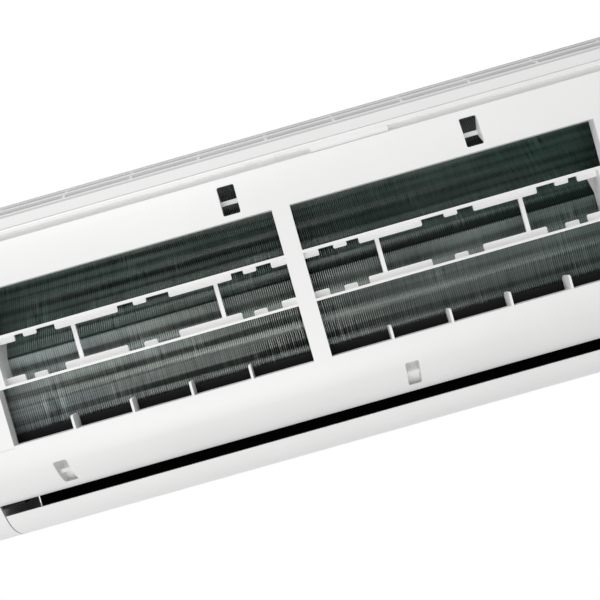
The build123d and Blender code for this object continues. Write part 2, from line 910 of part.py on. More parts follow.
def top_grille():
    """Lengthwise bars on cross ribs, following the curved top."""
    front = grille_front_depth + 2 + seat_gap
    back = grille_back_depth - seat_gap
    half = grille_half_length - seat_gap
    zone = side_polygon((front, top + 1), (back, top + 1), (back, 0), (front, 0))
    sheet = case_shell(0, case_wall) & zone
    bars = sheet
    slot_near = front + grille_bar
    while slot_near + grille_slot + grille_bar <= back:
        bars -= side_polygon(
            (slot_near, top + 1), (slot_near + grille_slot, top + 1),
            (slot_near + grille_slot, 0), (slot_near, 0))
        slot_near += grille_slot + grille_bar
    rib = case_shell(grille_rib_sink, grille_rib_height) & zone
    pieces = [along_x(bars, -half, half)]
    pieces.append(along_x(sheet, -half, -half + grille_border))
    pieces.append(along_x(sheet, half - grille_border, half))
    spacing = 2 * half / (grille_rib_count + 1)
    for index in range(grille_rib_count):
        middle = -half + spacing * (index + 1)
        pieces.append(along_x(rib, middle - grille_rib / 2, middle + grille_rib / 2))
    return join(pieces)


def access_cover():
    """The small cover over the wiring terminals."""
    clear = seat_gap
    screw_x, screw_height = access_screw_place()
    plate = block(access_left + clear, access_right - clear, 0, access_thickness,
                  access_bottom + clear, access_top - clear)
    plate -= rod_y(screw_x, screw_height, -1, access_thickness + 1, access_screw_radius + 0.2)
    grip = block(access_right - 12, access_right - 10, -1, 0.8, access_bottom + 8, access_top - 8)
    return plate - grip


def access_cover_screw():
    """Holds the wiring cover to its ledge."""
    screw_x, screw_height = access_screw_place()
    head = rod_y(screw_x, screw_height, -1.6, 0, access_screw_head)
    head -= block(screw_x - 2.4, screw_x + 2.4, -2, -0.8, screw_height - 0.4, screw_height + 0.4)
    head -= block(screw_x - 0.4, screw_x + 0.4, -2, -0.8, screw_height - 2.4, screw_height + 2.4)
    return head + rod_y(screw_x, screw_height, 0, case_wall + access_thickness, access_screw_radius)


def pipe_way_cover():
    """Cover of the right pipe way. The left one is broken out, ready for the pipes."""
    wall = block(half_width - case_wall, half_width, 0, case_back, bottom, top)
    return wall & pipe_way(1, seat_gap)


# ---- heat exchanger --------------------------------------------------------------------
def lean_vector(degrees, sense):
    """A unit step along a leaning block: sense is 1 upwards or -1 downwards."""
    angle = math.radians(degrees)
    return (math.sin(angle), sense * math.cos(angle))


def step(point, direction, distance):
    """A point moved along a direction."""
    return (point[0] + direction[0] * distance, point[1] + direction[1] * distance)


def fold_back():
    """Where the two front blocks meet on the fan's side."""
    drop = coil_thickness * math.tan(math.radians(coil_front_lean / 2))
    return (coil_front_depth + coil_thickness, coil_fold_height - drop)


def apex_height():
    """Height at which the front and rear blocks' outer faces meet."""
    return coil_fold_height + (coil_apex_depth - coil_front_depth) / math.tan(math.radians(coil_front_lean))


def rear_origin():
    """Top outer corner of the rear block."""
    drop = coil_gap / 2 / math.tan(math.radians(coil_rear_lean))
    return (coil_apex_depth + coil_gap / 2, apex_height() - drop)


def rear_inward():
    """Unit step from the rear block's outer face towards the fan."""
    angle = math.radians(coil_rear_lean)
    return (-math.cos(angle), -math.sin(angle))


def front_inward():
    """Unit step from the upper front block's outer face towards the fan."""
    angle = math.radians(coil_front_lean)
    return (math.cos(angle), -math.sin(angle))


def lower_block_corners():
    half_gap = coil_gap / 2
    back, back_height = fold_back()
    return [(coil_front_depth, coil_bottom), (back, coil_bottom), (back, back_height - half_gap),
            (coil_front_depth, coil_fold_height - half_gap)]


def upper_block_corners():
    climb = lean_vector(coil_front_lean, 1)
    slope = math.tan(math.radians(coil_front_lean))
    cut = coil_apex_depth - coil_gap / 2
    front = (coil_front_depth, coil_fold_height)
    back = fold_back()
    return [step(front, climb, coil_gap / 2), (cut, front[1] + (cut - front[0]) / slope),
            (cut, back[1] + (cut - back[0]) / slope), step(back, climb, coil_gap / 2)]


def rear_block_corners():
    start = rear_origin()
    fall = lean_vector(coil_rear_lean, -1)
    outer_end = step(start, fall, coil_rear_length)
    inner_end = step(outer_end, rear_inward(), coil_thickness)
    inner_start = step(start, rear_inward(), coil_thickness)
    along = (start[0] - inner_start[0]) / fall[0]
    return [start, outer_end, inner_end, step(inner_start, fall, along)]


def tube_rows():
    """Centres of the tubes, row by row: lower block, upper front block, rear block."""
    near, far = tube_row_inset, coil_thickness - tube_row_inset
    half_pitch = tube_pitch / 2
    lower_pitch = (fold_back()[1] - coil_bottom - lower_tube_margin) / lower_tube_count
    low = coil_bottom + lower_pitch / 4
    lower_rear = [(coil_front_depth + far, low + index * lower_pitch) for index in range(lower_tube_count)]
    lower_front = [(coil_front_depth + near, low + (index + 0.5) * lower_pitch)
                   for index in range(lower_tube_count)]
    climb = lean_vector(coil_front_lean, 1)
    corner = (coil_front_depth, coil_fold_height)
    upper_front = [step(step(corner, climb, tube_first + index * tube_pitch), front_inward(), near)
                   for index in range(5)]
    upper_rear = [step(step(corner, climb, tube_first + half_pitch + index * tube_pitch), front_inward(), far)
                  for index in range(4)]
    fall = lean_vector(coil_rear_lean, -1)
    start = step(rear_origin(), fall, rear_tube_first)
    rear_outer = [step(step(start, fall, index * tube_pitch), rear_inward(), near) for index in range(4)]
    rear_inner = [step(step(start, fall, half_pitch + index * tube_pitch), rear_inward(), far)
                  for index in range(3)]
    return lower_front, lower_rear, upper_front, upper_rear, rear_outer, rear_inner


def all_tube_centres():
    return [centre for row in tube_rows() for centre in row]


def grooved_block(corners, inward, climb):
    """A fin pack: a solid block whose outer face is cut into coarse fins."""
    length = coil_right - coil_left
    pitch = length / fin_groove_count
    points = [(coil_left, coil_thickness)]
    for index in range(fin_groove_count):
        start = coil_left + index * pitch
        points += [(start, 0), (start + pitch / 2, 0), (start + pitch / 2, fin_groove_depth),
                   (start + pitch, fin_groove_depth)]
    points.append((coil_right, coil_thickness))
    middle = corners[0]
    plane = Plane(origin=(0, middle[0] - front_depth, middle[1]), x_dir=(1, 0, 0),
                  z_dir=(0, -climb[0], -climb[1]))
    if (plane.y_dir.Y, plane.y_dir.Z) != (0, 0):
        flip = plane.y_dir.Y * inward[0] + plane.y_dir.Z * inward[1]
        if flip < 0:
            plane = Plane(origin=plane.origin, x_dir=(1, 0, 0), z_dir=-plane.z_dir)
    comb = extrude(plane * make_face(Polyline(points, close=True)), amount=2 * unit_height, both=True)
    pack = along_x(side_polygon(*corners), coil_left, coil_right) & comb
    holes = [rod_x(coil_left - 1, coil_right + 1, depth, height, tube_radius)
             for depth, height in all_tube_centres() if inside(corners, depth, height)]
    return pack - holes


def inside(corners, depth, height):
    """Whether a point lies in a convex side view."""
    signs = []
    for index, first in enumerate(corners):
        second = corners[(index + 1) % len(corners)]
        turn = (second[0] - first[0]) * (height - first[1]) - (second[1] - first[1]) * (depth - first[0])
        signs.append(turn > 0)
    return all(signs) or not any(signs)


def coil_lower_front():
    return grooved_block(lower_block_corners(), (1, 0), (0, 1))


def coil_upper_front():
    return grooved_block(upper_block_corners(), front_inward(), lean_vector(coil_front_lean, 1))


def coil_rear():
    return grooved_block(rear_block_corners(), rear_inward(), lean_vector(coil_rear_lean, -1))


def end_plate_at(x_start):
    """Sheet-metal end plate that holds the three blocks together."""
    lower, upper, rear = lower_block_corners(), upper_block_corners(), rear_block_corners()
    inner_slope = math.tan(math.radians(coil_front_lean))
    back = fold_back()
    inner_apex = (coil_apex_depth, back[1] + (coil_apex_depth - back[0]) / inner_slope)
    outline = side_polygon(
        lower[0], (coil_front_depth, coil_fold_height), (coil_apex_depth, apex_height()),
        rear[1], rear[2], rear[3], inner_apex, back, lower[1])
    plate = along_x(outline, x_start, x_start + end_plate)
    holes = [rod_x(x_start - 1, x_start + end_plate + 1, depth, height, tube_radius + tube_hole_clearance)
             for depth, height in all_tube_centres()]
    return plate - holes


def coil_end_plates():
    """Punched steel plates at both ends of the coil."""
    return group([end_plate_at(coil_left - end_plate), end_plate_at(coil_right)])


def bend_path(x_start, x_far, first, second):
    """A U-shaped path between two tubes, out to a far X and back."""
    distance = math.dist(first, second)
    radius = fitted_radius(distance, bend_radius)
    points = [(x_start, *side(*first)), (x_far, *side(*first)), (x_far, *side(*second)), (x_start, *side(*second))]
    return FilletPolyline(*points, radius=radius)


def tube_along(path, radius):
    """A round tube, drawn solid, along a path."""
    return sweep(Plane(origin=path @ 0, z_dir=path % 0) * Circle(radius), path=path)


def hairpin_pairs():
    """Which tubes share a hairpin at the left end."""
    low_f, low_r, up_f, up_r, rear_o, rear_i = tube_rows()
    pairs = [(low_f[2], low_f[1]), (low_f[0], low_r[0]), (low_r[1], low_r[2])]
    pairs += list(zip(up_f[:4], up_r))
    pairs.append((up_f[4], rear_o[0]))
    pairs += list(zip(rear_i, rear_o[1:]))
    return pairs


def return_pairs():
    """Which tubes a return bend joins at the right end."""
    low_f, low_r, up_f, up_r, rear_o, rear_i = tube_rows()
    pairs = [(low_f[1], low_f[0]), (low_r[0], low_r[1]), (low_r[2], up_f[0])]
    pairs += list(zip(up_r, up_f[1:]))
    pairs += list(zip(rear_o, rear_i))
    return pairs


def right_tube_end():
    return coil_right + end_plate + tube_end


def coil_tubes():
    """Hairpin tubes: two straight legs through the fins and a bend at the left end."""
    far = coil_left - end_plate - bend_reach
    return group([tube_along(bend_path(right_tube_end(), far, *pair), tube_radius) for pair in hairpin_pairs()])


def return_bends():
    """Short bends brazed on at the right end."""
    far = right_tube_end() + bend_reach
    return group([tube_along(bend_path(right_tube_end(), far, *pair), tube_radius) for pair in return_pairs()])


def pipe_ends():
    """Tube centres where the liquid and the gas pipe join the coil."""
    rows = tube_rows()
    return rows[0][2], rows[4][3]


def pipe_path(points):
    """Straight runs joined by arcs, each as large as its runs allow, up to the wanted bend."""
    radii = []
    for before, corner, after in zip(points, points[1:], points[2:]):
        turn = (Vector(*corner) - Vector(*before)).get_angle(Vector(*after) - Vector(*corner))
        shorter = min(math.dist(before, corner), math.dist(corner, after))
        radii.append(min(pipe_bend, 0.45 * shorter / math.tan(math.radians(turn) / 2)))
    return FilletPolyline(*points, radius=radii)


def liquid_pipe():
    """Thin pipe from the coil over the motor and down to the pipe channel."""
    start, _ = pipe_ends()
    x = liquid_run_x
    points = [
        (right_tube_end(), *side(*start)), (x, *side(*start)), (x, *side(start[0], liquid_cross_height)),
        (x, *side(liquid_run_depth, liquid_cross_height)), (x, *side(liquid_run_depth, liquid_run_height)),
        (liquid_end_x, *side(liquid_run_depth, liquid_run_height))]
    return tube_along(pipe_path(points), liquid_radius)


def gas_pipe():
    """Thick pipe from the coil past the motor and down to the pipe channel."""
    _, start = pipe_ends()
    x = gas_run_x
    points = [
        (right_tube_end(), *side(*start)), (x, *side(*start)), (x, *side(gas_run_depth, start[1])),
        (x, *side(gas_run_depth, gas_run_height)), (gas_end_x, *side(gas_run_depth, gas_run_height))]
    return tube_along(pipe_path(points), gas_radius)


def flare_union(x_end, depth, height, thread_radius):
    """Brass half-union brazed on a pipe's end: hexagon, male thread and cone."""
    plane = Plane(origin=(x_end, *side(depth, height)), x_dir=(0, 1, 0), z_dir=(-1, 0, 0))
    hexagon = extrude(plane * RegularPolygon(thread_radius * 1.35, 6), amount=union_hex_length)
    thread_plane = plane.offset(union_hex_length)
    thread = extrude(thread_plane * Circle(thread_radius), amount=thread_length)
    cone_plane = thread_plane.offset(thread_length)
    cone = extrude(cone_plane * Circle(thread_radius * 0.9), amount=thread_radius * 0.4, taper=45)
    return hexagon + thread + cone


def flare_unions():
    """The gas pipe's union and the liquid pipe's union."""
    return group([
        flare_union(gas_end_x, gas_run_depth, gas_run_height, gas_thread_radius),
        flare_union(liquid_end_x, liquid_run_depth, liquid_run_height, liquid_thread_radius)])


def pipe_clamp():
    """Plastic saddle that holds both pipes under the chassis's back wall."""
    body = block(clamp_x, clamp_x + clamp_width, gas_run_depth - gas_radius - clamp_margin, inner_back - seat_gap,
                 liquid_run_height - liquid_radius - clamp_margin, channel_height + 2 * clamp_margin)
    bores = [
        rod_x(clamp_x - 1, clamp_x + clamp_width + 1, gas_run_depth, gas_run_height, gas_radius + tube_hole_clearance),
        rod_x(clamp_x - 1, clamp_x + clamp_width + 1, liquid_run_depth, liquid_run_height,
              liquid_radius + tube_hole_clearance)]
    return body - bores


# ---- fan and its motor -----------------------------------------------------------------
def fan_plane(x):
    return Plane(origin=(x, fan_y, fan_height), x_dir=(0, 1, 0), z_dir=(1, 0, 0))


def fan_blade():
    """Section of one forward-curved blade, between two arcs."""
    root = fan_radius - blade_chord
    twist = math.radians(blade_twist)
    start = (root, 0)
    end = ((fan_radius - 0.4) * math.cos(twist), (fan_radius - 0.4) * math.sin(twist))
    return make_face([SagittaArc(start, end, blade_bulge), SagittaArc(start, end, blade_bulge + blade_thickness)])


def fan_rotor():
    """Cross-flow rotor: blades along the whole length, ring discs between them, closed ends."""
    blade = fan_blade()
    length = fan_right - fan_left
    base = fan_plane(fan_left)
    blades = [extrude(base * (Rot(0, 0, 360 / blade_count * index) * blade), amount=length)
              for index in range(blade_count)]
    ring = Circle(fan_radius) - Circle(fan_radius - blade_chord - 1.5)
    spacing = (length - fan_ring_thickness) / (fan_ring_count - 1)
    rings = []
    for index in range(1, fan_ring_count - 1):
        rings.append(extrude(fan_plane(fan_left + index * spacing) * ring, amount=fan_ring_thickness))
    left_disc = Circle(fan_radius) - Circle(stub_shaft_radius)
    right_disc = Circle(fan_radius) - Circle(hub_radius)
    rings.append(extrude(fan_plane(fan_left) * left_disc, amount=fan_ring_thickness))
    rings.append(extrude(fan_plane(fan_right - fan_ring_thickness) * right_disc, amount=fan_ring_thickness))
    return join(rings + blades)


def fan_hub():
    """Boss at the rotor's right end that takes the motor's shaft."""
    start = fan_right - hub_length
    hub = rod_x(start, fan_right, fan_depth, fan_height, hub_radius)
    hub -= rod_x(start - 1, fan_right + 1, fan_depth, fan_height, motor_shaft_radius)
    middle = fan_right - hub_length / 2
    hole = extrude(Plane(origin=(middle, fan_y, fan_height), z_dir=(0, 0, 1)) * Circle(2.0), amount=hub_radius + 1)
    return hub - hole


def hub_set_screw():
    """Grub screw that locks the rotor on the motor's shaft."""
    middle = fan_right - hub_length / 2
    base = Plane(origin=(middle, fan_y, fan_height + motor_shaft_radius), z_dir=(0, 0, 1))
    return extrude(base * Circle(1.95), amount=hub_radius - motor_shaft_radius - 1)


def fan_stub_shaft():
    """Steel stub at the rotor's left end."""
    return rod_x(fan_left - stub_shaft_length + 2, fan_left + 2, fan_depth, fan_height, stub_shaft_radius)


def bearing_bush():
    """Sintered bush that the stub shaft turns in."""
    end = duct_left - seat_gap
    bush = rod_x(end - bush_length, end, fan_depth, fan_height, bush_radius)
    return bush - rod_x(end - bush_length - 1, end + 1, fan_depth, fan_height, stub_shaft_radius + running_clearance)


def bearing_mount():
    """Rubber ring that holds the bush in the duct's left end wall."""
    end = duct_left
    ring = rod_x(end - bearing_length, end, fan_depth, fan_height, bearing_radius)
    return ring - rod_x(end - bearing_length - 1, end + 1, fan_depth, fan_height, bush_radius + tube_hole_clearance)


def fan_motor():
    """Motor body with a boss at each end."""
    body = rod_x(motor_left, motor_right, fan_depth, fan_height, motor_radius)
    body = fillet(body.edges().filter_by(GeomType.CIRCLE), radius=4)
    bosses = rod_x(motor_left - motor_boss_length, motor_right + motor_boss_length, fan_depth, fan_height,
                   motor_boss_radius)
    bore = rod_x(motor_left - motor_boss_length - 1, motor_left + motor_length / 2, fan_depth, fan_height,
                 motor_shaft_radius + running_clearance)
    return body + bosses - bore


def motor_shaft():
    """Steel shaft from the motor into the fan's hub."""
    return rod_x(fan_right - hub_length, motor_left + motor_length / 2 - 0.5, fan_depth, fan_height,
                 motor_shaft_radius)


def saddle_ranges():
    """X range of the motor's two supports."""
    middle = (motor_boss_length - saddle_thickness) / 2
    left = motor_left - motor_boss_length + middle
    right = motor_right + middle
    return [(left, left + saddle_thickness), (right, right + saddle_thickness)]


def motor_cushions():
    """Rubber rings between the motor's bosses and its supports."""
    rings = []
    for low, high in saddle_ranges():
        extra = (cushion_length - saddle_thickness) / 2
        ring = rod_x(low - extra, high + extra, fan_depth, fan_height, cushion_radius)
        rings.append(ring - rod_x(low - 2, high + 2, fan_depth, fan_height, motor_boss_radius + tube_hole_clearance))
    return group(rings)


def motor_bracket():
    """Clamp over the front of the motor's cushions, screwed to the chassis."""
    near = fan_depth - strap_depth - cushion_radius
    far = fan_depth - seat_gap
    pieces = []
    for low, high in saddle_ranges():
        end = block(low, high, near, far, fan_height - saddle_half_height, fan_height + saddle_half_height)
        pieces.append(end - rod_x(low - 1, high + 1, fan_depth, fan_height, cushion_radius + tube_hole_clearance))
    left, right = saddle_ranges()[0][0], saddle_ranges()[1][1]
    strap_low = motor_radius + 1
    for low in (fan_height + strap_low, fan_height - strap_low - strap_depth):
        pieces.append(block(left, right, fan_depth - 12, far, low, low + strap_depth))
    for low, high in saddle_ranges():
        for edge in (fan_height + saddle_half_height - 1, fan_height - strap_low - strap_depth):
            pieces.append(block(low, high, fan_depth - 12, far, edge, edge + strap_depth + 4))
    bracket = join(pieces)
    for x, height in bracket_screw_places():
        bracket -= rod_y(x, height, near - 1, far + 1, bracket_screw_radius)
    return bracket


def bracket_screw_places():
    places = []
    for low, high in saddle_ranges():
        for hand in (-1, 1):
            places.append(((low + high) / 2, fan_height + hand * bracket_screw_offset))
    return places


def bracket_screws():
    """Four screws through the clamp into the chassis."""
    near = fan_depth - strap_depth - cushion_radius
    screws = []
    for x, height in bracket_screw_places():
        head = rod_y(x, height, near - 2, near, bracket_screw_radius * 1.4)
        screws.append(head + rod_y(x, height, near, fan_depth + 8, bracket_screw_radius))
    return group(screws)


# ---- drain pan and outlet -----------------------------------------------------------------
def drain_pan():
    """Trough under the front coil, with the wall that forms the front of the outlet duct."""
    floor_top = pan_floor_height + pan_floor
    trough = side_polygon(
        (pan_front_depth, pan_front_top), (pan_front_depth + pan_wall, pan_front_top),
        (pan_front_depth + pan_wall, floor_top), (pan_back_depth - pan_wall, floor_top),
        (pan_back_depth - pan_wall, pan_back_top), (pan_back_depth, pan_back_top),
        (pan_back_depth, pan_floor_height), (pan_front_depth, pan_floor_height))
    end = side_polygon(
        (pan_front_depth, pan_end_top), (pan_back_depth, pan_end_top),
        (pan_back_depth, pan_floor_height), (pan_front_depth, pan_floor_height))
    wedge = side_polygon(
        (pan_back_depth - pan_wall, pan_back_top), (pan_back_depth, pan_back_top),
        (pan_back_depth + 3, pan_back_top - 11), (tongue_depth, tongue_height),
        (duct_front_depth, duct_front_top), (duct_lip_depth, duct_lip_height),
        (outlet_lip_depth + 1.4, duct_lip_height), (outlet_lip_depth + 1.4, duct_lip_height + 3),
        (duct_lip_depth - duct_front_wall + 1.5, duct_lip_height + 3.0),
        (duct_front_depth - duct_front_wall - 3.5, duct_front_top - 7), (pan_back_depth - pan_wall, pan_floor_height))
    pieces = [
        along_x(trough, pan_left, pan_right),
        along_x(end, pan_left, pan_left + pan_wall),
        along_x(end, pan_right - pan_wall, pan_right),
        along_x(wedge, duct_left + seat_gap, duct_right - seat_gap),
    ]
    for x in (spigot_left_x, spigot_right_x):
        pieces.append(rod_y(x, spigot_height, pan_back_depth - pan_wall, pan_back_depth + spigot_length, spigot_radius))
    pan = join(pieces)
    for x in (spigot_left_x, spigot_right_x):
        pan -= rod_y(x, spigot_height, pan_back_depth - pan_wall - 1, pan_back_depth + spigot_length + 1, spigot_bore)
    return pan


def drain_plug():
    """Rubber plug in the spigot that isn't used."""
    end = pan_back_depth + spigot_length
    stem = rod_y(spigot_right_x, spigot_height, end - plug_length, end, spigot_bore - tube_hole_clearance)
    return stem + rod_y(spigot_right_x, spigot_height, end, end + plug_head_length, plug_head_radius)


def trough_levels():
    """Front depth, back depth, underside height and rim height of the gutter under the rear coil."""
    _, outer_end, inner_end, _ = rear_block_corners()
    return (inner_end[0] - trough_front_gap, outer_end[0] + trough_back_gap,
            inner_end[1] - trough_drop, outer_end[1] + trough_rim_rise)


def scroll_profile():
    """Side view of the guide wall behind and below the fan."""
    scroll_top = trough_levels()[2] - scroll_top_gap

    def edge(shift):
        first = side(scroll_top_depth + shift, scroll_top)
        middle = side(fan_depth + fan_radius + scroll_gap + shift, fan_height - 2)
        bend = side(scroll_bend_depth + shift, scroll_bend_height)
        end = side(scroll_end_depth + shift, bottom)
        return first, middle, bend, end
    inner, outer = edge(0), edge(chassis_wall)
    return make_face([
        ThreePointArc(inner[0], inner[1], inner[2]), Line(inner[2], inner[3]), Line(inner[3], outer[3]),
        Line(outer[3], outer[2]), ThreePointArc(outer[2], outer[1], outer[0]), Line(outer[0], inner[0])])


def scroll_depth_at(height):
    """Depth of the guide wall's inner face under its bend."""
    share = (scroll_bend_height - height) / (scroll_bend_height - bottom)
    return scroll_bend_depth - share * (scroll_bend_depth - scroll_end_depth)


def duct_end_profile():
    """Side view of a duct end wall, which also carries the coil and the back wall."""
    gap = seat_gap
    back = fold_back()
    slope = math.tan(math.radians(coil_front_lean))
    upper_shift = step(back, front_inward(), gap)
    rear = rear_block_corners()
    rear_shift = [step(point, rear_inward(), gap) for point in (rear[2], rear[3])]
    fall = lean_vector(coil_rear_lean, -1)
    # the two shifted inner faces meet under the apex
    inner_line = upper_shift[1] - upper_shift[0] / slope
    rear_line = rear_shift[1][1] - rear_shift[1][0] * fall[1] / fall[0]
    meet = (rear_line - inner_line) / (1 / slope - fall[1] / fall[0])
    apex = (meet, inner_line + meet / slope)
    _, trough_back, trough_low, trough_rim = trough_levels()
    return side_polygon(
        (pan_back_depth + gap, pan_floor_height - gap), (pan_back_depth + gap, pan_back_top + 2),
        (back[0] + gap, pan_back_top + 2), (back[0] + gap, upper_shift[1]), upper_shift, apex, rear_shift[0],
        (rear_shift[0][0], trough_low + chassis_wall), (trough_back, trough_low + chassis_wall),
        (trough_back, trough_rim), (inner_back + 1, trough_rim), (inner_back + 1, channel_height),
        (scroll_depth_at(channel_height) + 2, channel_height), (scroll_end_depth + chassis_wall, bottom),
        (scroll_end_depth, bottom), (scroll_end_depth, lip_floor - 3), (outlet_lip_depth + 2, lip_floor - 3),
        (outlet_lip_depth + 2, lip_floor + 1), (duct_lip_depth - 4, pan_floor_height - gap))


def rear_trough():
    """Gutter under the rear coil block."""
    front, back, low, rim = trough_levels()
    wall = chassis_wall
    return side_polygon(
        (front, low), (back + wall, low), (back + wall, rim), (back, rim), (back, low + wall),
        (front + wall, low + wall), (front + wall, low + wall + trough_lip), (front, low + wall + trough_lip))


def chassis_side_profile():
    """Side view of the chassis's outer side plates."""
    return side_polygon(
        (chassis_back_depth, top - case_wall - chassis_top_gap), (crown_depth + 20, top - case_wall - chassis_top_gap),
        (grille_front_depth + 16, top - 34), (crease_depth + 4, box_top), (box_front_depth, box_top - 30),
        (box_front_depth, box_bottom), (40, lip_floor + 12), (60, lip_floor), (scroll_end_depth, lip_floor),
        (scroll_end_depth, channel_height), (chassis_back_depth, channel_height))


def floor_rib_profile():
    """Side view of the ribs that carry the ends of the chassis's floor."""
    knee = (scroll_end_depth + inner_back) / 2
    return side_polygon(
        (scroll_end_depth, bottom), (scroll_end_depth + floor_rib_width, bottom), (knee, channel_height),
        (chassis_back_depth, channel_height), (chassis_back_depth, channel_height + floor_rib_width / 2),
        (knee - floor_rib_width / 2, channel_height + floor_rib_width / 2))


def bay_floor_profile():
    """Side view of the panels that close the outlet's two ends above the louver."""
    near = outlet_lip_depth + 2
    low = lip_floor - 1
    return side_polygon(
        (near, low - chassis_wall), (near, low), (scroll_end_depth + chassis_wall, low),
        (scroll_end_depth + chassis_wall, bottom), (scroll_end_depth, bottom),
        (scroll_end_depth, low - chassis_wall))


def rear_chassis():
    """Base moulding: back wall, duct end walls, fan guide, gutter, floor and motor supports."""
    roof = top - case_wall - chassis_top_gap
    side_in = chassis_side_x - chassis_wall
    pieces = [
        block(-chassis_side_x, chassis_side_x, inner_back, chassis_back_depth, channel_height, roof),
        along_x(chassis_side_profile(), -chassis_side_x, -side_in),
        along_x(chassis_side_profile(), side_in, chassis_side_x),
        along_x(duct_end_profile(), duct_left - duct_wall, duct_left),
        along_x(duct_end_profile(), duct_right, duct_right + duct_wall),
        along_x(scroll_profile(), duct_left - duct_wall, duct_right + duct_wall),
        along_x(rear_trough(), trough_left, trough_right),
        block(-louver_half, louver_half, scroll_end_depth, chassis_back_depth, bottom, bottom + chassis_wall),
        along_x(bay_floor_profile(), -louver_half, duct_left),
        along_x(bay_floor_profile(), duct_right, louver_half),
        along_x(floor_rib_profile(), -louver_half, -louver_half + chassis_wall),
        along_x(floor_rib_profile(), louver_half - chassis_wall, louver_half),
        rod_x(duct_left - bearing_length - 1, duct_left, fan_depth, fan_height,
              bearing_radius + bearing_housing_wall),
    ]
    for low, high in saddle_ranges():
        pieces.append(block(low, high, fan_depth, inner_back + 1, fan_height - saddle_half_height,
                            fan_height + saddle_half_height))
    chassis = join(pieces)
    cutters = [
        rod_x(duct_left - bearing_length - 2, duct_left + 1, fan_depth, fan_height,
              bearing_radius + tube_hole_clearance),
        rod_x(duct_right - 1, duct_right + duct_wall + 1, fan_depth, fan_height, hub_radius),
    ]
    for low, high in saddle_ranges():
        cutters.append(rod_x(low - 1, high + 1, fan_depth, fan_height, cushion_radius + tube_hole_clearance))
    for x, height in bracket_screw_places():
        cutters.append(rod_y(x, height, fan_depth - 1, fan_depth + 12, bracket_screw_radius))
    for hand in (-1, 1):
        middle = hand * hook_x
        half = hook_width / 2 + hook_clearance
        cutters.append(block(middle - half, middle + half, inner_back - 1, chassis_back_depth + 1,
                             hook_height - hook_clearance, hook_height + plate_thickness + hook_lip + hook_clearance))
    cutters.append(rod_y(spigot_left_x, spigot_height, inner_back - 1, chassis_back_depth + 1, hose_way_radius))
    cutters.append(block(spigot_left_x - hose_way_radius, spigot_left_x + hose_way_radius, inner_back - 1,
                         chassis_back_depth + 1, channel_height - 1, spigot_height))
    return chassis - cutters


def wall_plate():
    """Steel plate that is screwed to the wall, with hooks at the top and catches below."""
    far = front_depth
    near = far - plate_thickness
    half = plate_width / 2
    plate = block(-half, half, near, far, plate_bottom, plate_top)
    middle_height = (plate_bottom + plate_top) / 2
    cutters = []
    for hand in (-1, 1):
        middle = hand * plate_window_x
        cutters.append(block(middle - plate_window_width / 2, middle + plate_window_width / 2, near - 1, far + 1,
                             middle_height - plate_window_height / 2, middle_height + plate_window_height / 2))
    for spacing in (outer_hole_spacing, inner_hole_spacing):
        for x in (-spacing / 2, spacing / 2):
            for height in (plate_bottom + plate_hole_margin, plate_top - plate_hole_margin):
                cutters.append(rod_y(x, height, near - 1, far + 1, plate_hole_radius))
    plate -= cutters
    pieces = [plate]
    for hand in (-1, 1):
        low_x, high_x = hand * hook_x - hook_width / 2, hand * hook_x + hook_width / 2
        front = near - hook_reach
        pieces.append(block(low_x, high_x, front, near, hook_height, hook_height + plate_thickness))
        pieces.append(block(low_x, high_x, front, front + plate_thickness, hook_height, hook_height + hook_lip))
        catch_height = channel_height - seat_gap - plate_thickness
        pieces.append(block(low_x, high_x, near - catch_reach, near, catch_height, catch_height + plate_thickness))
    return join(pieces)


# ---- louver --------------------------------------------------------------------------------
def louver_arm(x_start, x_end):
    """A rib from the louver's inner face up to its pivot."""
    depth, height = louver_pivot_depth, louver_pivot_height
    foot = side_polygon(
        (depth - louver_boss_radius, height), (depth + louver_boss_radius, height),
        (depth + 12, bottom + louver_wall / 2), (depth - 22, bottom + louver_wall / 2))
    return along_x(foot + side_circle(depth, height, louver_boss_radius), x_start, x_end)


def main_louver():
    """The curved flap that shuts the outlet, with its pivot pins."""
    zone = side_polygon(
        (0, bottom + louver_front_rise), (louver_back_depth, bottom + louver_front_rise),
        (louver_back_depth, bottom - 1), (0, bottom - 1))
    flap = case_shell(0, louver_wall) & zone
    depth, height = louver_pivot_depth, louver_pivot_height
    low, high = centre_support_x - centre_rib_gap - louver_rib, centre_support_x + centre_rib_gap
    pieces = [
        along_x(flap, -louver_half, louver_half),
        louver_arm(-louver_half, -louver_half + louver_rib),
        louver_arm(louver_half - louver_rib * 2, louver_half),
        louver_arm(low, low + louver_rib),
        louver_arm(high, high + louver_rib),
        rod_x(low, high + louver_rib, depth, height, louver_pin_radius),
        rod_x(-louver_half - pin_length, -louver_half, depth, height, louver_pin_radius),
    ]
    louver = join(pieces)
    return louver - rod_x(louver_half - louver_rib * 2, louver_half + 1, depth, height, louver_pin_radius)


def louver_motor_shaft():
    """Flat-sided shaft, drawn round, from the stepper into the louver's right arm."""
    end = cheek_x + cheek_wall + seat_gap + 4.0
    return rod_x(louver_half - louver_rib * 2, end, louver_pivot_depth, louver_pivot_height, louver_pin_radius)


def louver_motor():
    """Small geared stepper in the right cheek."""
    start = cheek_x + cheek_wall + seat_gap
    middle = louver_pivot_height + louver_motor_offset
    body = rod_x(start, start + louver_motor_length, louver_pivot_depth, middle, louver_motor_radius)
    ears = block(start, start + 1, louver_pivot_depth - 21, louver_pivot_depth + 21, middle - 3.5, middle + 3.5)
    bore = rod_x(start - 1, start + 5, louver_pivot_depth, louver_pivot_height, louver_pin_radius + running_clearance)
    return body + ears - bore


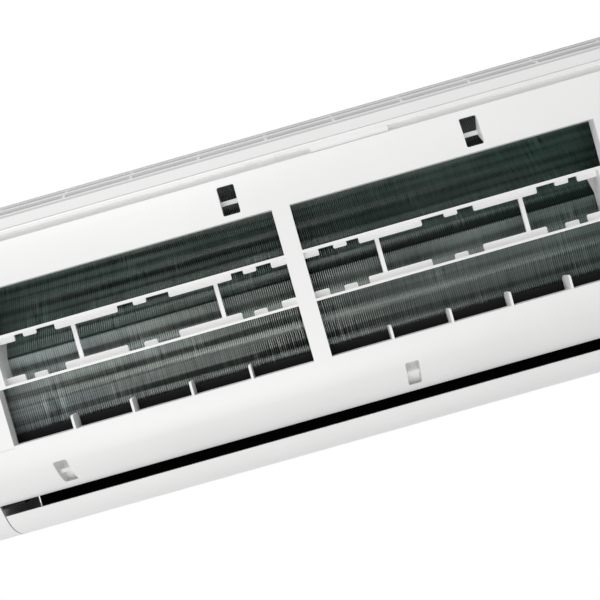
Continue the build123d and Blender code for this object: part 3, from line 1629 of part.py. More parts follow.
def louver_centre_support():
    """Strut across the duct that holds the long louver's middle pin."""
    depth, height = louver_pivot_depth, louver_pivot_height
    strut_top, strut_bottom = link_height + 4, vane_bottom + 2
    gap = seat_gap
    slope = (duct_front_depth - duct_lip_depth) / (duct_front_top - duct_lip_height)

    def front(level):
        return duct_lip_depth + (level - duct_lip_height) * slope + gap

    strut = side_polygon(
        (front(strut_top), strut_top), (scroll_depth_at(strut_top) - gap, strut_top),
        (scroll_depth_at(strut_bottom) - gap, strut_bottom), (depth + louver_boss_radius, strut_bottom),
        (depth + louver_boss_radius, height), (depth - louver_boss_radius, height),
        (depth - louver_boss_radius, strut_bottom), (front(strut_bottom), strut_bottom))
    profile = strut + side_circle(depth, height, louver_boss_radius)
    profile -= side_circle(depth, height, louver_pin_radius + running_clearance)
    half = centre_support_thickness / 2
    return along_x(profile, centre_support_x - half, centre_support_x + half)


# ---- upright vanes ---------------------------------------------------------------------------
def vane_x(side_name, index):
    return vane_groups[side_name] + (index - (vane_count - 1) / 2) * vane_pitch


def vane(x):
    """One upright vane with its pivot pin at the back and its link pin at the front."""
    outline = side_polygon(
        (vane_top_front_depth, vane_top), (vane_back_depth, vane_top), (vane_back_depth, vane_top - vane_back_height),
        (vane_foot_back_depth, vane_bottom), (vane_foot_front_depth, vane_bottom))
    plate = along_x(outline, x - vane_thickness / 2, x + vane_thickness / 2)
    boss = rod_y(x, vane_pivot_height, vane_back_depth - vane_boss_length, vane_back_depth, vane_boss_radius)
    pin_end = vane_back_depth + rail_gap + vane_rail_depth
    pin = rod_y(x, vane_pivot_height, vane_back_depth - 2, pin_end, vane_pin_radius)
    link_pin = rod_y(x, link_height, link_front_depth - 0.3, link_front_depth + link_thickness + 6, link_pin_radius)
    return join([plate, boss, pin, link_pin])


def vane_link(side_name):
    """Bar that ties the vanes of one group together."""
    first, last = vane_x(side_name, 0), vane_x(side_name, vane_count - 1)
    bar = block(first - link_overhang, last + link_overhang, link_front_depth, link_front_depth + link_thickness,
                link_height - link_width / 2, link_height + link_width / 2)
    holes = [rod_y(vane_x(side_name, index), link_height, link_front_depth - 1, link_front_depth + link_thickness + 1,
                   link_pin_radius + running_clearance) for index in range(vane_count)]
    return bar - holes


def vane_rails():
    """Bearing strips on the guide wall, one for each group of vanes."""
    near = vane_back_depth + rail_gap
    low, high = vane_pivot_height - vane_rail_height / 2, vane_pivot_height + vane_rail_height / 2
    profile = side_polygon(
        (near, low), (near, high), (scroll_depth_at(high) - seat_gap, high), (scroll_depth_at(low) - seat_gap, low))
    rails = []
    for side_name in vane_groups:
        first, last = vane_x(side_name, 0), vane_x(side_name, vane_count - 1)
        rail = along_x(profile, first - vane_rail_overhang, last + vane_rail_overhang)
        holes = [rod_y(vane_x(side_name, index), vane_pivot_height, near - 1, near + vane_rail_depth + 0.3,
                       vane_pin_radius + running_clearance) for index in range(vane_count)]
        rails.append(rail - holes)
    return group(rails)


# ---- electrics ---------------------------------------------------------------------------------
def control_box():
    """Open-fronted tray for the board and the terminals, with posts under the board."""
    outer = block(box_left, box_right, box_front_depth, box_back_depth, box_bottom, box_top)
    inner = block(box_left + box_wall, box_right - box_wall, box_front_depth - 1, box_back_depth - box_wall,
                  box_bottom + box_wall, box_top - box_wall)
    posts = []
    floor = box_back_depth - box_wall
    for x, height in board_corners(8):
        posts.append(rod_y(x, height, floor - board_standoff, floor, 3.0))
    return join([outer - inner] + posts)


def board_corners(inset):
    """Corner points of the board, moved inwards."""
    low_x, high_x = box_left + board_inset, box_right - board_inset
    low, high = board_bottom, board_top
    return [(x, height) for x in (low_x + inset, high_x - inset) for height in (low + inset, high - inset)]


def board_face_depth():
    return box_back_depth - box_wall - board_standoff - board_thickness


def main_board():
    """Printed circuit board."""
    near = board_face_depth()
    return block(box_left + board_inset, box_right - board_inset, near, near + board_thickness,
                 board_bottom, board_top)


def board_parts():
    """Capacitor, relay, power module, choke and connectors on the board."""
    far = board_face_depth()
    left = box_left + board_inset

    def brick(start, width, tall, low, high):
        return block(left + start, left + start + width, far - tall, far, low, high)

    parts = [
        rod_y(left + capacitor_place, board_top - capacitor_drop, far - capacitor_length, far, capacitor_radius),
        brick(relay_place, relay_width, relay_length, board_top - relay_width - relay_drop, board_top - relay_drop),
        brick(choke_place, choke_width, choke_length, board_top - choke_width - relay_drop, board_top - relay_drop),
        brick(module_place, module_width, module_length, board_bottom + module_rise,
              board_bottom + module_rise + module_height),
        brick(chip_place, chip_width, chip_length, board_bottom + module_rise, board_bottom + module_rise + chip_width),
    ]
    for index in range(connector_count):
        start = connector_place + index * connector_pitch
        parts.append(brick(start, connector_width, connector_length, board_bottom + connector_rise,
                           board_bottom + connector_rise + connector_height))
    return group(parts)


def control_box_cover():
    """Flat cover with cooling slots over the board half of the tray."""
    near = box_front_depth - cover_thickness
    plate = block(box_left, box_right, near, box_front_depth, cover_bottom, box_top)
    cutters = []
    for index in range(cover_slot_count):
        start = box_left + cover_slot_start + index * 2 * cover_slot_width
        cutters.append(block(start, start + cover_slot_width, near - 1, box_front_depth + 1,
                             box_top - cover_slot_drop - cover_slot_height, box_top - cover_slot_drop))
    return plate - cutters


def terminal_places():
    middle = (box_left + box_right) / 2
    pitch = terminal_width / terminal_count
    first = middle - terminal_width / 2 + pitch / 2
    return [first + index * pitch for index in range(terminal_count)]


def terminal_block():
    """Wiring terminals, with a barrier between neighbours."""
    far = box_back_depth - box_wall
    near = far - terminal_depth
    middle = (box_left + box_right) / 2
    low, high = terminal_bottom, terminal_bottom + terminal_height
    body = block(middle - terminal_width / 2, middle + terminal_width / 2, near, far, low, high)
    pitch = terminal_width / terminal_count
    cutters = []
    for x in terminal_places():
        cutters.append(block(x - pitch / 2 + 1, x + pitch / 2 - 1, near - 1, near + 8, low - 1, high + 1))
        cutters.append(rod_y(x, (low + high) / 2, near, far - 2, terminal_screw_radius * 0.6))
    return body - cutters


def terminal_screws():
    """Clamping screws of the terminals."""
    seat = box_back_depth - box_wall - terminal_depth + 8
    height = terminal_bottom + terminal_height / 2
    screws = []
    for x in terminal_places():
        head = rod_y(x, height, seat - 2.4, seat, terminal_screw_radius)
        head -= block(x - 3, x + 3, seat - 3, seat - 1.4, height - 0.4, height + 0.4)
        screws.append(head + rod_y(x, height, seat, seat + 8, terminal_screw_radius * 0.6))
    return group(screws)


def wire_clamp():
    """Bridge that grips the supply cable under the terminals."""
    far = box_back_depth - box_wall
    near = far - wire_clamp_depth - 6
    middle = (box_left + box_right) / 2
    low, high = wire_clamp_bottom, wire_clamp_bottom + wire_clamp_height
    bridge = block(middle - wire_clamp_width / 2, middle + wire_clamp_width / 2, near, far, low, high)
    passage = block(middle - wire_clamp_width / 2 + 10, middle + wire_clamp_width / 2 - 10, near + 4, far + 1,
                    low - 1, high + 1)
    return bridge - passage


def button_height():
    return display_bottom + display_height / 2


def display_housing():
    """Case behind the frame for the signal lamps, the receiver and the button."""
    near = case_wall + seat_gap
    far = near + display_housing_depth
    low_x, high_x = display_left - display_margin, button_x + button_flange_radius + display_margin
    body = block(low_x, high_x, near, far, display_bottom - display_margin,
                 display_bottom + display_height + display_margin)
    lamp_room = block(display_left, display_left + display_width, near - 1, far - 1.5, display_bottom,
                      display_bottom + display_height)
    flange_room = rod_y(button_x, button_height(), near - 1, near + 1.6 + button_travel + 0.4,
                        button_flange_radius + 0.4)
    guide = rod_y(button_x, button_height(), near, far + 1, button_stem_radius + running_clearance)
    return body - lamp_room - flange_room - guide


def display_window():
    """Dark window over the lamps and the receiver."""
    clear = seat_gap
    return block(display_left + clear, display_left + display_width - clear, 0, window_plate,
                 display_bottom + clear, display_bottom + display_height - clear)


def emergency_button():
    """Round push button with a retaining flange and a guided stem."""
    height = button_height()
    flange_near = case_wall + seat_gap
    cap = rod_y(button_x, height, -button_proud, flange_near, button_radius)
    flange = rod_y(button_x, height, flange_near, flange_near + 1.6, button_flange_radius)
    stem = rod_y(button_x, height, flange_near, flange_near + display_housing_depth - 1.5 - button_travel,
                 button_stem_radius)
    return cap + flange + stem


def room_sensor():
    """Air temperature sensor in its clip behind the frame, right of the coil."""
    near = case_wall + seat_gap
    x = window_columns()[1][1] + flange_wall + 8
    clip = block(x - 4, x + 4, near, near + 5, -4, 14)
    return clip + rod_y(x, 15, near, near + 9, 2.2)


# ---- write every sub-part --------------------------------------------------------------------
sub_parts = {
    "wall_plate": wall_plate,
    "rear_chassis": rear_chassis,
    "front_frame": front_frame,
    "filter_rails": filter_rails,
    "panel_clips": panel_clips,
    "top_grille": top_grille,
    "pipe_way_cover": pipe_way_cover,
    "coil_lower_front": coil_lower_front,
    "coil_upper_front": coil_upper_front,
    "coil_rear": coil_rear,
    "coil_tubes": coil_tubes,
    "return_bends": return_bends,
    "coil_end_plates": coil_end_plates,
    "liquid_pipe": liquid_pipe,
    "gas_pipe": gas_pipe,
    "flare_unions": flare_unions,
    "pipe_clamp": pipe_clamp,
    "drain_pan": drain_pan,
    "drain_plug": drain_plug,
    "fan_rotor": fan_rotor,
    "fan_hub": fan_hub,
    "hub_set_screw": hub_set_screw,
    "fan_stub_shaft": fan_stub_shaft,
    "bearing_bush": bearing_bush,
    "bearing_mount": bearing_mount,
    "fan_motor": fan_motor,
    "motor_shaft": motor_shaft,
    "motor_cushions": motor_cushions,
    "motor_bracket": motor_bracket,
    "bracket_screws": bracket_screws,
    "main_louver": main_louver,
    "louver_motor": louver_motor,
    "louver_motor_shaft": louver_motor_shaft,
    "louver_centre_support": louver_centre_support,
    "vane_rails": vane_rails,
    "control_box": control_box,
    "control_box_cover": control_box_cover,
    "main_board": main_board,
    "board_parts": board_parts,
    "terminal_block": terminal_block,
    "terminal_screws": terminal_screws,
    "wire_clamp": wire_clamp,
    "access_cover": access_cover,
    "access_cover_screw": access_cover_screw,
    "display_housing": display_housing,
    "display_window": display_window,
    "emergency_button": emergency_button,
    "room_sensor": room_sensor,
}

os.makedirs("parts", exist_ok=True)
for node, make in sub_parts.items():
    export_step(make(), f"parts/{node}.step")
for side_name in vane_groups:
    export_step(vane_link(side_name), f"parts/vane_link_{side_name}.step")
    for index in range(vane_count):
        export_step(vane(vane_x(side_name, index)), f"parts/vane_{side_name}_{index + 1}.step")
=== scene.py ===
import json
import math

import bmesh
import bpy
import numpy as np
from mathutils import Matrix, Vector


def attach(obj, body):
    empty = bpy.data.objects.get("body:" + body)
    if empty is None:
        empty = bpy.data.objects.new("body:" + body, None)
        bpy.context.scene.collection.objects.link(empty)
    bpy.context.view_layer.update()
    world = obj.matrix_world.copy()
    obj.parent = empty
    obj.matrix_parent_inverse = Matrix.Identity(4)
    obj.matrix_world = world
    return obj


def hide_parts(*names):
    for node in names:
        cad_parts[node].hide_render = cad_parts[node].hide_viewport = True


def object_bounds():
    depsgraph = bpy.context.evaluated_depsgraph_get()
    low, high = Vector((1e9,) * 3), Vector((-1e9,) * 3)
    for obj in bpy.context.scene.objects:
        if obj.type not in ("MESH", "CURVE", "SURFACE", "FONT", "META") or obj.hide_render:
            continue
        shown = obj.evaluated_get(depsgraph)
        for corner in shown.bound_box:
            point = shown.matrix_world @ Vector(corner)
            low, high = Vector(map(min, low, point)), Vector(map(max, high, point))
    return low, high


# Looks of a wall-mounted indoor unit with its front panel off. The frame is in metres:
# +X to the right seen from the room, +Y into the wall, +Z up, the origin on the wall.

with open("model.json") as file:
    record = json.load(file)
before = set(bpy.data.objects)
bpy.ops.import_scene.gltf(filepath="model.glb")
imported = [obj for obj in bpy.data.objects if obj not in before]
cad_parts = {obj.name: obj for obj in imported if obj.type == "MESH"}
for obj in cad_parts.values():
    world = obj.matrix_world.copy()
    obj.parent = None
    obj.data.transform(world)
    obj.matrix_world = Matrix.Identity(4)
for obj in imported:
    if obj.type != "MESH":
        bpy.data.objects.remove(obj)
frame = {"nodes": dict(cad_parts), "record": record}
cad_low, cad_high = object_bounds()

MM = 0.001

# ---- sizes of the fine shapes ----------------------------------------------------------
fin_pitch = 1.8 * MM
fin_thickness = 0.2 * MM
fin_wave_height = 0.34 * MM
fin_waves = 4
fin_steps_per_wave = 3
fin_rows_up = 6
fin_edge_inset = 0.4 * MM
fin_jitter = 0.07 * MM
bent_clusters = 9
bent_reach = 0.55 * MM
bent_spread = 7.0 * MM
bent_middles = (0.1, 0.9)    # how far up the block a cluster's middle may lie, as shares of it
bent_heights = (0.08, 0.3)   # how tall a cluster may be
merge_distance = 0.002 * MM
flat_angle = math.radians(0.6)
smooth_angle = math.radians(32)
bevel_angle = math.radians(40)
bevel_segments = 2

# ---- look of the fins ------------------------------------------------------------------
sheet_scale = 10.0           # UV units per metre on a fin
# brightness over one tube row, upwards from the middle of its wide dark band
row_bands = (
    (0.00, 0.0), (0.10, 0.1), (0.17, 0.80), (0.50, 0.78), (0.56, 0.22),
    (0.61, 0.18), (0.68, 0.9), (0.78, 1.0), (0.86, 0.85), (0.93, 0.05),
)
row_middle = 0.62            # the band brightness that leaves the tone as it is
row_drift = 0.03             # how far the bands wander up and down, in UV units
row_patches = (0.45, 1.1)    # the bands' strength wanders between these
# how strong the bands are from the left end of the coil to its right one
band_strength = ((0.0, 0.25), (0.22, 0.95), (0.5, 0.9), (0.66, 0.48), (1.0, 0.45))
broad_streaks = 0.7          # depth of the soft streaks along the coil
fine_streaks = 0.6
hair_middle = 0.48           # noise level that leaves the tone as it is
hair_depth = 0.7             # depth of the hairlines outside their patches
hair_patch_depth = 2.6       # and what a patch adds
hair_patch_start = 0.53      # noise level where a patch begins
hair_patch_full = 0.66
plain_level = 0.55           # the tone between dark and bright that bands and streaks add to
# the rise is painted light: the fins brighter or darker up a block as light from above falls on
# them
rise_middle = 0.4            # height up a block, in UV units, where the rise adds nothing
# the foot of a block is given painted shade, darker towards the right end, standing in for the
# shadow in the fold and at the lower edge
foot_height = 0.11           # the dark foot of a block ends at this height, in UV units
foot_slope = 14.0
# the fins above a height are given painted shade, nearly black, where the casing keeps the light
# off them
shade_slope = 20.0           # how fast the fins turn dark behind the casing, per UV unit
tint_wander = 0.2
tint_middle = 0.3            # where along the coil the fins have no tint
# colour of that painted shade
shaded_fin = (0.03, 0.035, 0.033)
dark_fin_roughness = 0.52
light_fin_roughness = 0.40
# noises over the sheet UV map: scale along the coil, scale up it, and for some detail and roughness
drift_noise = (0.35, 0.6)
row_patch_noise = (0.55, 0.9)
broad_noise = (0.45, 11.0)
fine_noise = (1.1, 46.0, 3.0, 0.6)
hair_patch_noise = (2.1, 1.7)
hair_noise = (62.0, 2.4, 2.0, 0.7)
tint_noise = (0.9, 4.0)

# ---- look of the mouldings, the metals and the board -----------------------------------
gloss_wander = 0.05          # how far a moulding's roughness wanders to either side
grain_strength = 0.35
line_strength = 0.25         # of the drawing lines on metal
line_depth = 0.02 * MM
lines_along_x = (5.0, 700.0, 700.0)
stain_cover = 0.7
clean_roughness = -0.06      # what clean and stained metal add to the metal's roughness
stained_roughness = 0.16
bright_copper = (0.80, 0.45, 0.32)
spangle_scale = 210.0
spangle_share = 0.6          # the rest of the zinc's grey comes from a broad cloud
track_scale = 160.0
track_half_width = 0.08      # as a share of a cell between the tracks

# ---- tone of the casing, from the lower height to the upper one ------------------------
frame_tone_low = 110.0 * MM
frame_tone_high = 135.0 * MM
# the stops from 0.20 to 0.235 are a painted shadow line in the crease above the bead; from 0.785 up
# the top edge is greyer
frame_tones_and_crease_shade = (
    (0.0, 1.0), (0.18, 1.0), (0.20, 0.62), (0.235, 0.62), (0.255, 1.0),
    (0.77, 1.0), (0.785, 0.62), (0.86, 0.66), (0.90, 0.74), (1.0, 0.74),
)

# ---- camera, as the photograph was taken: metres, degrees, millimetres -----------------
camera_place = (-0.0655, -0.786, 0.006)
camera_pitch = -1.29
camera_yaw = 0.49
camera_roll = -15.8
camera_lens = 44.4
sensor_width = 36.0

# ---- stage -----------------------------------------------------------------------------
floor_half = 3.0
floor_drop = 0.45
floor_clear_radius = 0.16    # the floor fades out between these two, seen from above
floor_end_radius = 0.33
floor_squash = 0.45          # the fade's reach along Y is that along X times this
fill_strength = 0.35
lamp_aim = (0, -0.1, 0)
lamp_size = 1.2
lamps = (
    # name, place in metres, power in watts
    ("top_lamp", (-0.6, -0.9, 1.7), 19.8),
    ("low_lamp", (-0.35, -1.6, -0.85), 15.0),
    ("left_lamp", (-1.9, -0.9, 0.1), 3.5),
)


# ---- fin blocks in the frame -----------------------------------------------------------
def block_points(node):
    """A node's points as an array."""
    points = np.empty(len(frame["nodes"][node].data.vertices) * 3)
    frame["nodes"][node].data.vertices.foreach_get("co", points)
    return points.reshape(-1, 3)


def extreme(points, direction):
    """The point farthest along a direction."""
    return points[np.argmax(points @ np.array(direction))]


coil_left = block_points("coil_lower_front")[:, 0].min()
coil_right = block_points("coil_lower_front")[:, 0].max()


# ---- node helpers ----------------------------------------------------------------------
def new_group(name, inputs, outputs):
    """A shader node group with named number or vector sockets."""
    kinds = {"value": "NodeSocketFloat", "vector": "NodeSocketVector"}
    tree = bpy.data.node_groups.new(name, "ShaderNodeTree")
    for label, kind, default in inputs:
        socket = tree.interface.new_socket(name=label, in_out="INPUT", socket_type=kinds[kind])
        socket.default_value = default
    for label, kind in outputs:
        tree.interface.new_socket(name=label, in_out="OUTPUT", socket_type=kinds[kind])
    return tree, tree.nodes.new("NodeGroupInput"), tree.nodes.new("NodeGroupOutput")


def add(tree, kind, **settings):
    """A new node with its properties set."""
    node = tree.nodes.new(kind)
    for key, value in settings.items():
        setattr(node, key, value)
    return node


def link(tree, start, end):
    tree.links.new(start, end)


def feed(tree, node, **values):
    """Links outputs to a node's inputs, named with _ for each space."""
    for label, value in values.items():
        link(tree, value, node.inputs[label.replace("_", " ")])


def math_node(tree, operation, first, second=None, clamp=False):
    """A math node on two values, each a socket or a number; returns its output."""
    node = add(tree, "ShaderNodeMath", operation=operation, use_clamp=clamp)
    for index, value in enumerate((first, second)):
        if value is None:
            continue
        if isinstance(value, (int, float)):
            node.inputs[index].default_value = value
        else:
            link(tree, value, node.inputs[index])
    return node.outputs[0]


def noise(tree, vector, scale, detail=3.0, roughness=0.5):
    """A noise of 0 to 1 over a vector; its scale is a number or a socket."""
    node = add(tree, "ShaderNodeTexNoise")
    if isinstance(scale, (int, float)):
        node.inputs["Scale"].default_value = scale
    else:
        link(tree, scale, node.inputs["Scale"])
    node.inputs["Detail"].default_value = detail
    node.inputs["Roughness"].default_value = roughness
    link(tree, vector, node.inputs["Vector"])
    return node.outputs["Fac"]


def object_place(tree):
    """The piece's own coordinates."""
    return add(tree, "ShaderNodeTexCoord").outputs["Object"]


def scaled(tree, vector, scale):
    """A vector with each part times its own number."""
    mapping = add(tree, "ShaderNodeMapping")
    mapping.inputs["Scale"].default_value = scale
    link(tree, vector, mapping.inputs["Vector"])
    return mapping.outputs["Vector"]


def parts_of(tree, vector):
    """The X, Y and Z of a vector, as a node's outputs."""
    split = add(tree, "ShaderNodeSeparateXYZ")
    link(tree, vector, split.inputs[0])
    return split.outputs


def between(tree, value, low, high, start=0.0, end=1.0, kind="LINEAR"):
    """The start value up to low, the end value from high on, and a slope between them."""
    node = add(tree, "ShaderNodeMapRange", interpolation_type=kind)
    node.inputs["From Min"].default_value = low
    node.inputs["From Max"].default_value = high
    node.inputs["To Min"].default_value = start
    node.inputs["To Max"].default_value = end
    link(tree, value, node.inputs["Value"])
    return node.outputs["Result"]


def spread(tree, value, start, end):
    """The middle half of a 0 to 1 noise, spread between two values."""
    return between(tree, value, 0.25, 0.75, start, end)


def ramp(tree, value, stops):
    """A colour ramp: stops are (position, colour or grey) pairs."""
    node = add(tree, "ShaderNodeValToRGB")
    link(tree, value, node.inputs["Fac"])
    elements = node.color_ramp.elements
    while len(elements) < len(stops):
        elements.new(0.5)
    for element, (position, colour) in zip(elements, stops):
        grey = isinstance(colour, (int, float))
        element.position = position
        element.color = (colour, colour, colour, 1.0) if grey else (*colour, 1.0)
    return node.outputs["Color"]


def mix_colours(tree, factor, first, second, blend="MIX"):
    """Two colours mixed or multiplied; each value is a colour, a number or a socket."""
    node = add(tree, "ShaderNodeMix", data_type="RGBA", blend_type=blend)
    sockets = (node.inputs["Factor"], node.inputs[6], node.inputs[7])
    for socket, value in zip(sockets, (factor, first, second)):
        if isinstance(value, tuple):
            socket.default_value = (*value, 1.0)
        elif isinstance(value, (int, float)):
            socket.default_value = value
        else:
            link(tree, value, socket)
    return node.outputs[2]


def bump(tree, height, strength, distance):
    """The normal of a surface that this height raises."""
    node = add(tree, "ShaderNodeBump")
    node.inputs["Strength"].default_value = strength
    node.inputs["Distance"].default_value = distance
    link(tree, height, node.inputs["Height"])
    return node.outputs["Normal"]


# ---- shared effects --------------------------------------------------------------------
def make_grain_group():
    """Moulding grain: a fine noise for the height and a broad one for tone and gloss."""
    tree, source, sink = new_group(
        "moulding_grain",
        [("Grain Scale", "value", 1400.0), ("Cloud Scale", "value", 9.0)],
        [("Height", "value"), ("Cloud", "value")])
    place = object_place(tree)
    feed(tree, sink,
         Height=noise(tree, place, source.outputs["Grain Scale"], 4.0, 0.55),
         Cloud=noise(tree, place, source.outputs["Cloud Scale"], 4.0, 0.6))
    return tree


def make_dust_group():
    """Dust that settles on what faces up: the square of the normal's Z times a noise."""
    tree, source, sink = new_group(
        "settled_dust",
        [("Amount", "value", 0.5), ("Scale", "value", 60.0)],
        [("Mask", "value")])
    normal = add(tree, "ShaderNodeNewGeometry").outputs["Normal"]
    up = math_node(tree, "MAXIMUM", parts_of(tree, normal)["Z"], 0.0)
    cloud = noise(tree, object_place(tree), source.outputs["Scale"], 5.0, 0.65)
    grown = math_node(tree, "MULTIPLY", math_node(tree, "POWER", up, 2.0), cloud)
    feed(tree, sink, Mask=math_node(tree, "MULTIPLY", grown, source.outputs["Amount"], clamp=True))
    return tree


def make_brush_group():
    """Drawn or turned metal: noise stretched along one axis of the piece."""
    tree, source, sink = new_group(
        "drawn_lines",
        [("Scale", "vector", (4.0, 900.0, 900.0))],
        [("Lines", "value"), ("Stain", "value")])
    place = object_place(tree)
    stretched = add(tree, "ShaderNodeVectorMath", operation="MULTIPLY")
    link(tree, place, stretched.inputs[0])
    link(tree, source.outputs["Scale"], stretched.inputs[1])
    feed(tree, sink,
         Lines=noise(tree, stretched.outputs[0], 1.0, 3.0, 0.6),
         Stain=noise(tree, place, 38.0, 5.0, 0.62))
    return tree


grain_group = make_grain_group()
dust_group = make_dust_group()
brush_group = make_brush_group()


def placed(tree, group, **values):
    """A shared effect put into a material with its own values."""
    node = add(tree, "ShaderNodeGroup", node_tree=group)
    for label, value in values.items():
        node.inputs[label.replace("_", " ")].default_value = value
    return node


def new_material(name, **constants):
    """A material with its Principled shader, plain numbers set on the shader's own sockets."""
    material = bpy.data.materials.new(name)
    material.use_nodes = True
    shader = material.node_tree.nodes["Principled BSDF"]
    for label, value in constants.items():
        shader.inputs[label.replace("_", " ")].default_value = value
    return material, material.node_tree, shader


# ---- materials -------------------------------------------------------------------------
def moulded_surface(tree, shader, light, dark, gloss, grain_scale, grain_depth):
    """Gloss and grain of a moulding; returns its tone, which wanders a little."""
    grain = placed(tree, grain_group, Grain_Scale=grain_scale)
    cloud = grain.outputs["Cloud"]
    feed(tree, shader,
         Roughness=spread(tree, cloud, gloss - gloss_wander, gloss + gloss_wander),
         Normal=bump(tree, grain.outputs["Height"], grain_strength, grain_depth))
    return mix_colours(tree, spread(tree, cloud, 0.0, 1.0), dark, light)


def moulded_plastic(name, light, dark, gloss, grain_scale, grain_depth, dust,
                    dust_colour=(0.55, 0.53, 0.49), specular=0.5):
    """Moulded plastic with dust on the ledges."""
    material, tree, shader = new_material(name, Specular_IOR_Level=specular)
    tone = moulded_surface(tree, shader, light, dark, gloss, grain_scale, grain_depth)
    settled = placed(tree, dust_group, Amount=dust).outputs["Mask"]
    feed(tree, shader, Base_Color=mix_colours(tree, settled, tone, dust_colour))
    return material


def frame_plastic(name, light, dark, gloss, grain_scale, grain_depth):
    """The casing's plastic, greyer along the top edge, with a painted shadow line in the crease
    above the bead. The tone follows the height."""
    material, tree, shader = new_material(name)
    tone = moulded_surface(tree, shader, light, dark, gloss, grain_scale, grain_depth)
    place = parts_of(tree, object_place(tree))
    # the ramp paints a shadow line into the crease above the bead and greys the top edge
    shade = ramp(tree, between(tree, place["Z"], frame_tone_low, frame_tone_high), frame_tones_and_crease_shade)
    feed(tree, shader, Base_Color=mix_colours(tree, 1.0, tone, shade, "MULTIPLY"))
    return material


def make_fin_group():
    """Fin edges in bands: a wide and a narrow dark band for each tube row, soft streaks along the
    coil and bright hairlines up it that come in patches. Reads the sheet UV map: U along the coil
    and V up it, in UV units. The level is 0 where the fins are dark and 1 where they are light."""
    tree, source, sink = new_group(
        "fin_bands",
        [("Row Start", "value", 0.1), ("Row Pitch", "value", 0.21), ("Row Depth", "value", 0.5),
         ("Rise", "value", 0.0), ("Foot", "value", 0.0), ("Dark Above", "value", 10.0)],
        [("Level", "value"), ("Tint", "value"), ("Along", "value"), ("Shade", "value")])
    given = source.outputs
    place = add(tree, "ShaderNodeUVMap", uv_map="sheet").outputs["UV"]
    sheet = parts_of(tree, place)
    height = sheet["Y"]
    along = between(tree, sheet["X"], coil_left * sheet_scale, coil_right * sheet_scale)

    def plus(first, second):
        return math_node(tree, "ADD", first, second)

    def minus(first, second):
        return math_node(tree, "SUBTRACT", first, second)

    def times(first, second, clamp=False):
        return math_node(tree, "MULTIPLY", first, second, clamp)

    def streaks(across, up, detail=2.0, roughness=0.5):
        return noise(tree, scaled(tree, place, (across, up, 1.0)), 1.0, detail, roughness)

    def centred(value, size):
        return times(minus(value, 0.5), size)

    above = minus(plus(height, centred(streaks(*drift_noise), row_drift)), given["Row Start"])
    turn = math_node(tree, "FRACT", math_node(tree, "DIVIDE", above, given["Row Pitch"]))
    patchy = spread(tree, streaks(*row_patch_noise), *row_patches)
    strength = times(patchy, ramp(tree, along, band_strength))
    depth = times(given["Row Depth"], strength)
    rows = times(minus(ramp(tree, turn, row_bands), row_middle), depth)
    broad = centred(streaks(*broad_noise), broad_streaks)
    fine = centred(streaks(*fine_noise), fine_streaks)

    patch = between(tree, streaks(*hair_patch_noise), hair_patch_start, hair_patch_full,
                    kind="SMOOTHSTEP")
    reach = plus(times(patch, hair_patch_depth), hair_depth)
    hairs = times(minus(streaks(*hair_noise), hair_middle), reach)

    # painted light that changes the tone with the height up the block
    climb = times(minus(height, rise_middle), given["Rise"])
    # painted shade at the foot of a block
    low = times(minus(foot_height, height), foot_slope, clamp=True)
    foot = times(times(low, along), given["Foot"])
    level = plus(plus(plus(rows, broad), plus(fine, hairs)), minus(climb, foot))
    feed(tree, sink,
         Level=math_node(tree, "ADD", level, plain_level, clamp=True),
         Tint=streaks(*tint_noise),
         Along=along,
         # painted shade behind the casing, above the given height
         Shade=times(minus(height, given["Dark Above"]), shade_slope, clamp=True))
    return tree


fin_group = make_fin_group()


def fin_material(name, light, dark, left_tint, right_tint_and_shade,
                 row_start, row_pitch, row_depth, rise, foot, dark_above):
    """Coated aluminium fins, banded at the tube rows: green-grey, cooler towards the left end and
    darker towards the right one, partly tint and partly painted shade, with painted light that
    changes the tone up the block, painted shade in the fold at the foot of a block and painted
    shade, nearly black, above a height, behind the casing."""
    material, tree, shader = new_material(name, Specular_IOR_Level=0.4, Metallic=0.35)
    bands = placed(tree, fin_group,
                   Row_Start=row_start * MM * sheet_scale,
                   Row_Pitch=row_pitch * MM * sheet_scale,
                   Dark_Above=dark_above * MM * sheet_scale,
                   Row_Depth=row_depth, Rise=rise, Foot=foot).outputs
    tone = mix_colours(tree, bands["Level"], dark, light)
    wander = spread(tree, bands["Tint"], -tint_wander, tint_wander)
    side = math_node(tree, "ADD", bands["Along"], wander, clamp=True)
    # the right end's tint is partly hue and partly painted shade
    tint = ramp(tree, side, ((0.0, left_tint), (tint_middle, 1.0), (1.0, right_tint_and_shade)))
    shown = mix_colours(tree, 1.0, tone, tint, "MULTIPLY")
    feed(tree, shader,
         # mixes in painted shade, nearly black, behind the casing
         Base_Color=mix_colours(tree, bands["Shade"], shown, shaded_fin),
         Roughness=spread(tree, bands["Level"], dark_fin_roughness, light_fin_roughness))
    return material


def tubes_in_fins(copper_light, copper_dark, collar):
    """Copper tube that shows the fins' collars inside the coil and bare copper at its ends."""
    material, tree, shader = new_material("coil_tube", Roughness=0.38)
    lines = placed(tree, brush_group, Scale=lines_along_x).outputs
    bare = mix_colours(tree, spread(tree, lines["Stain"], 0.0, 1.0), copper_light, copper_dark)
    along = parts_of(tree, object_place(tree))["X"]
    inside = math_node(tree, "MULTIPLY", math_node(tree, "GREATER_THAN", along, coil_left),
                       math_node(tree, "LESS_THAN", along, coil_right))
    feed(tree, shader,
         Base_Color=mix_colours(tree, inside, bare, collar),
         Metallic=math_node(tree, "SUBTRACT", 1.0, inside),
         Normal=bump(tree, lines["Lines"], line_strength, line_depth))
    return material


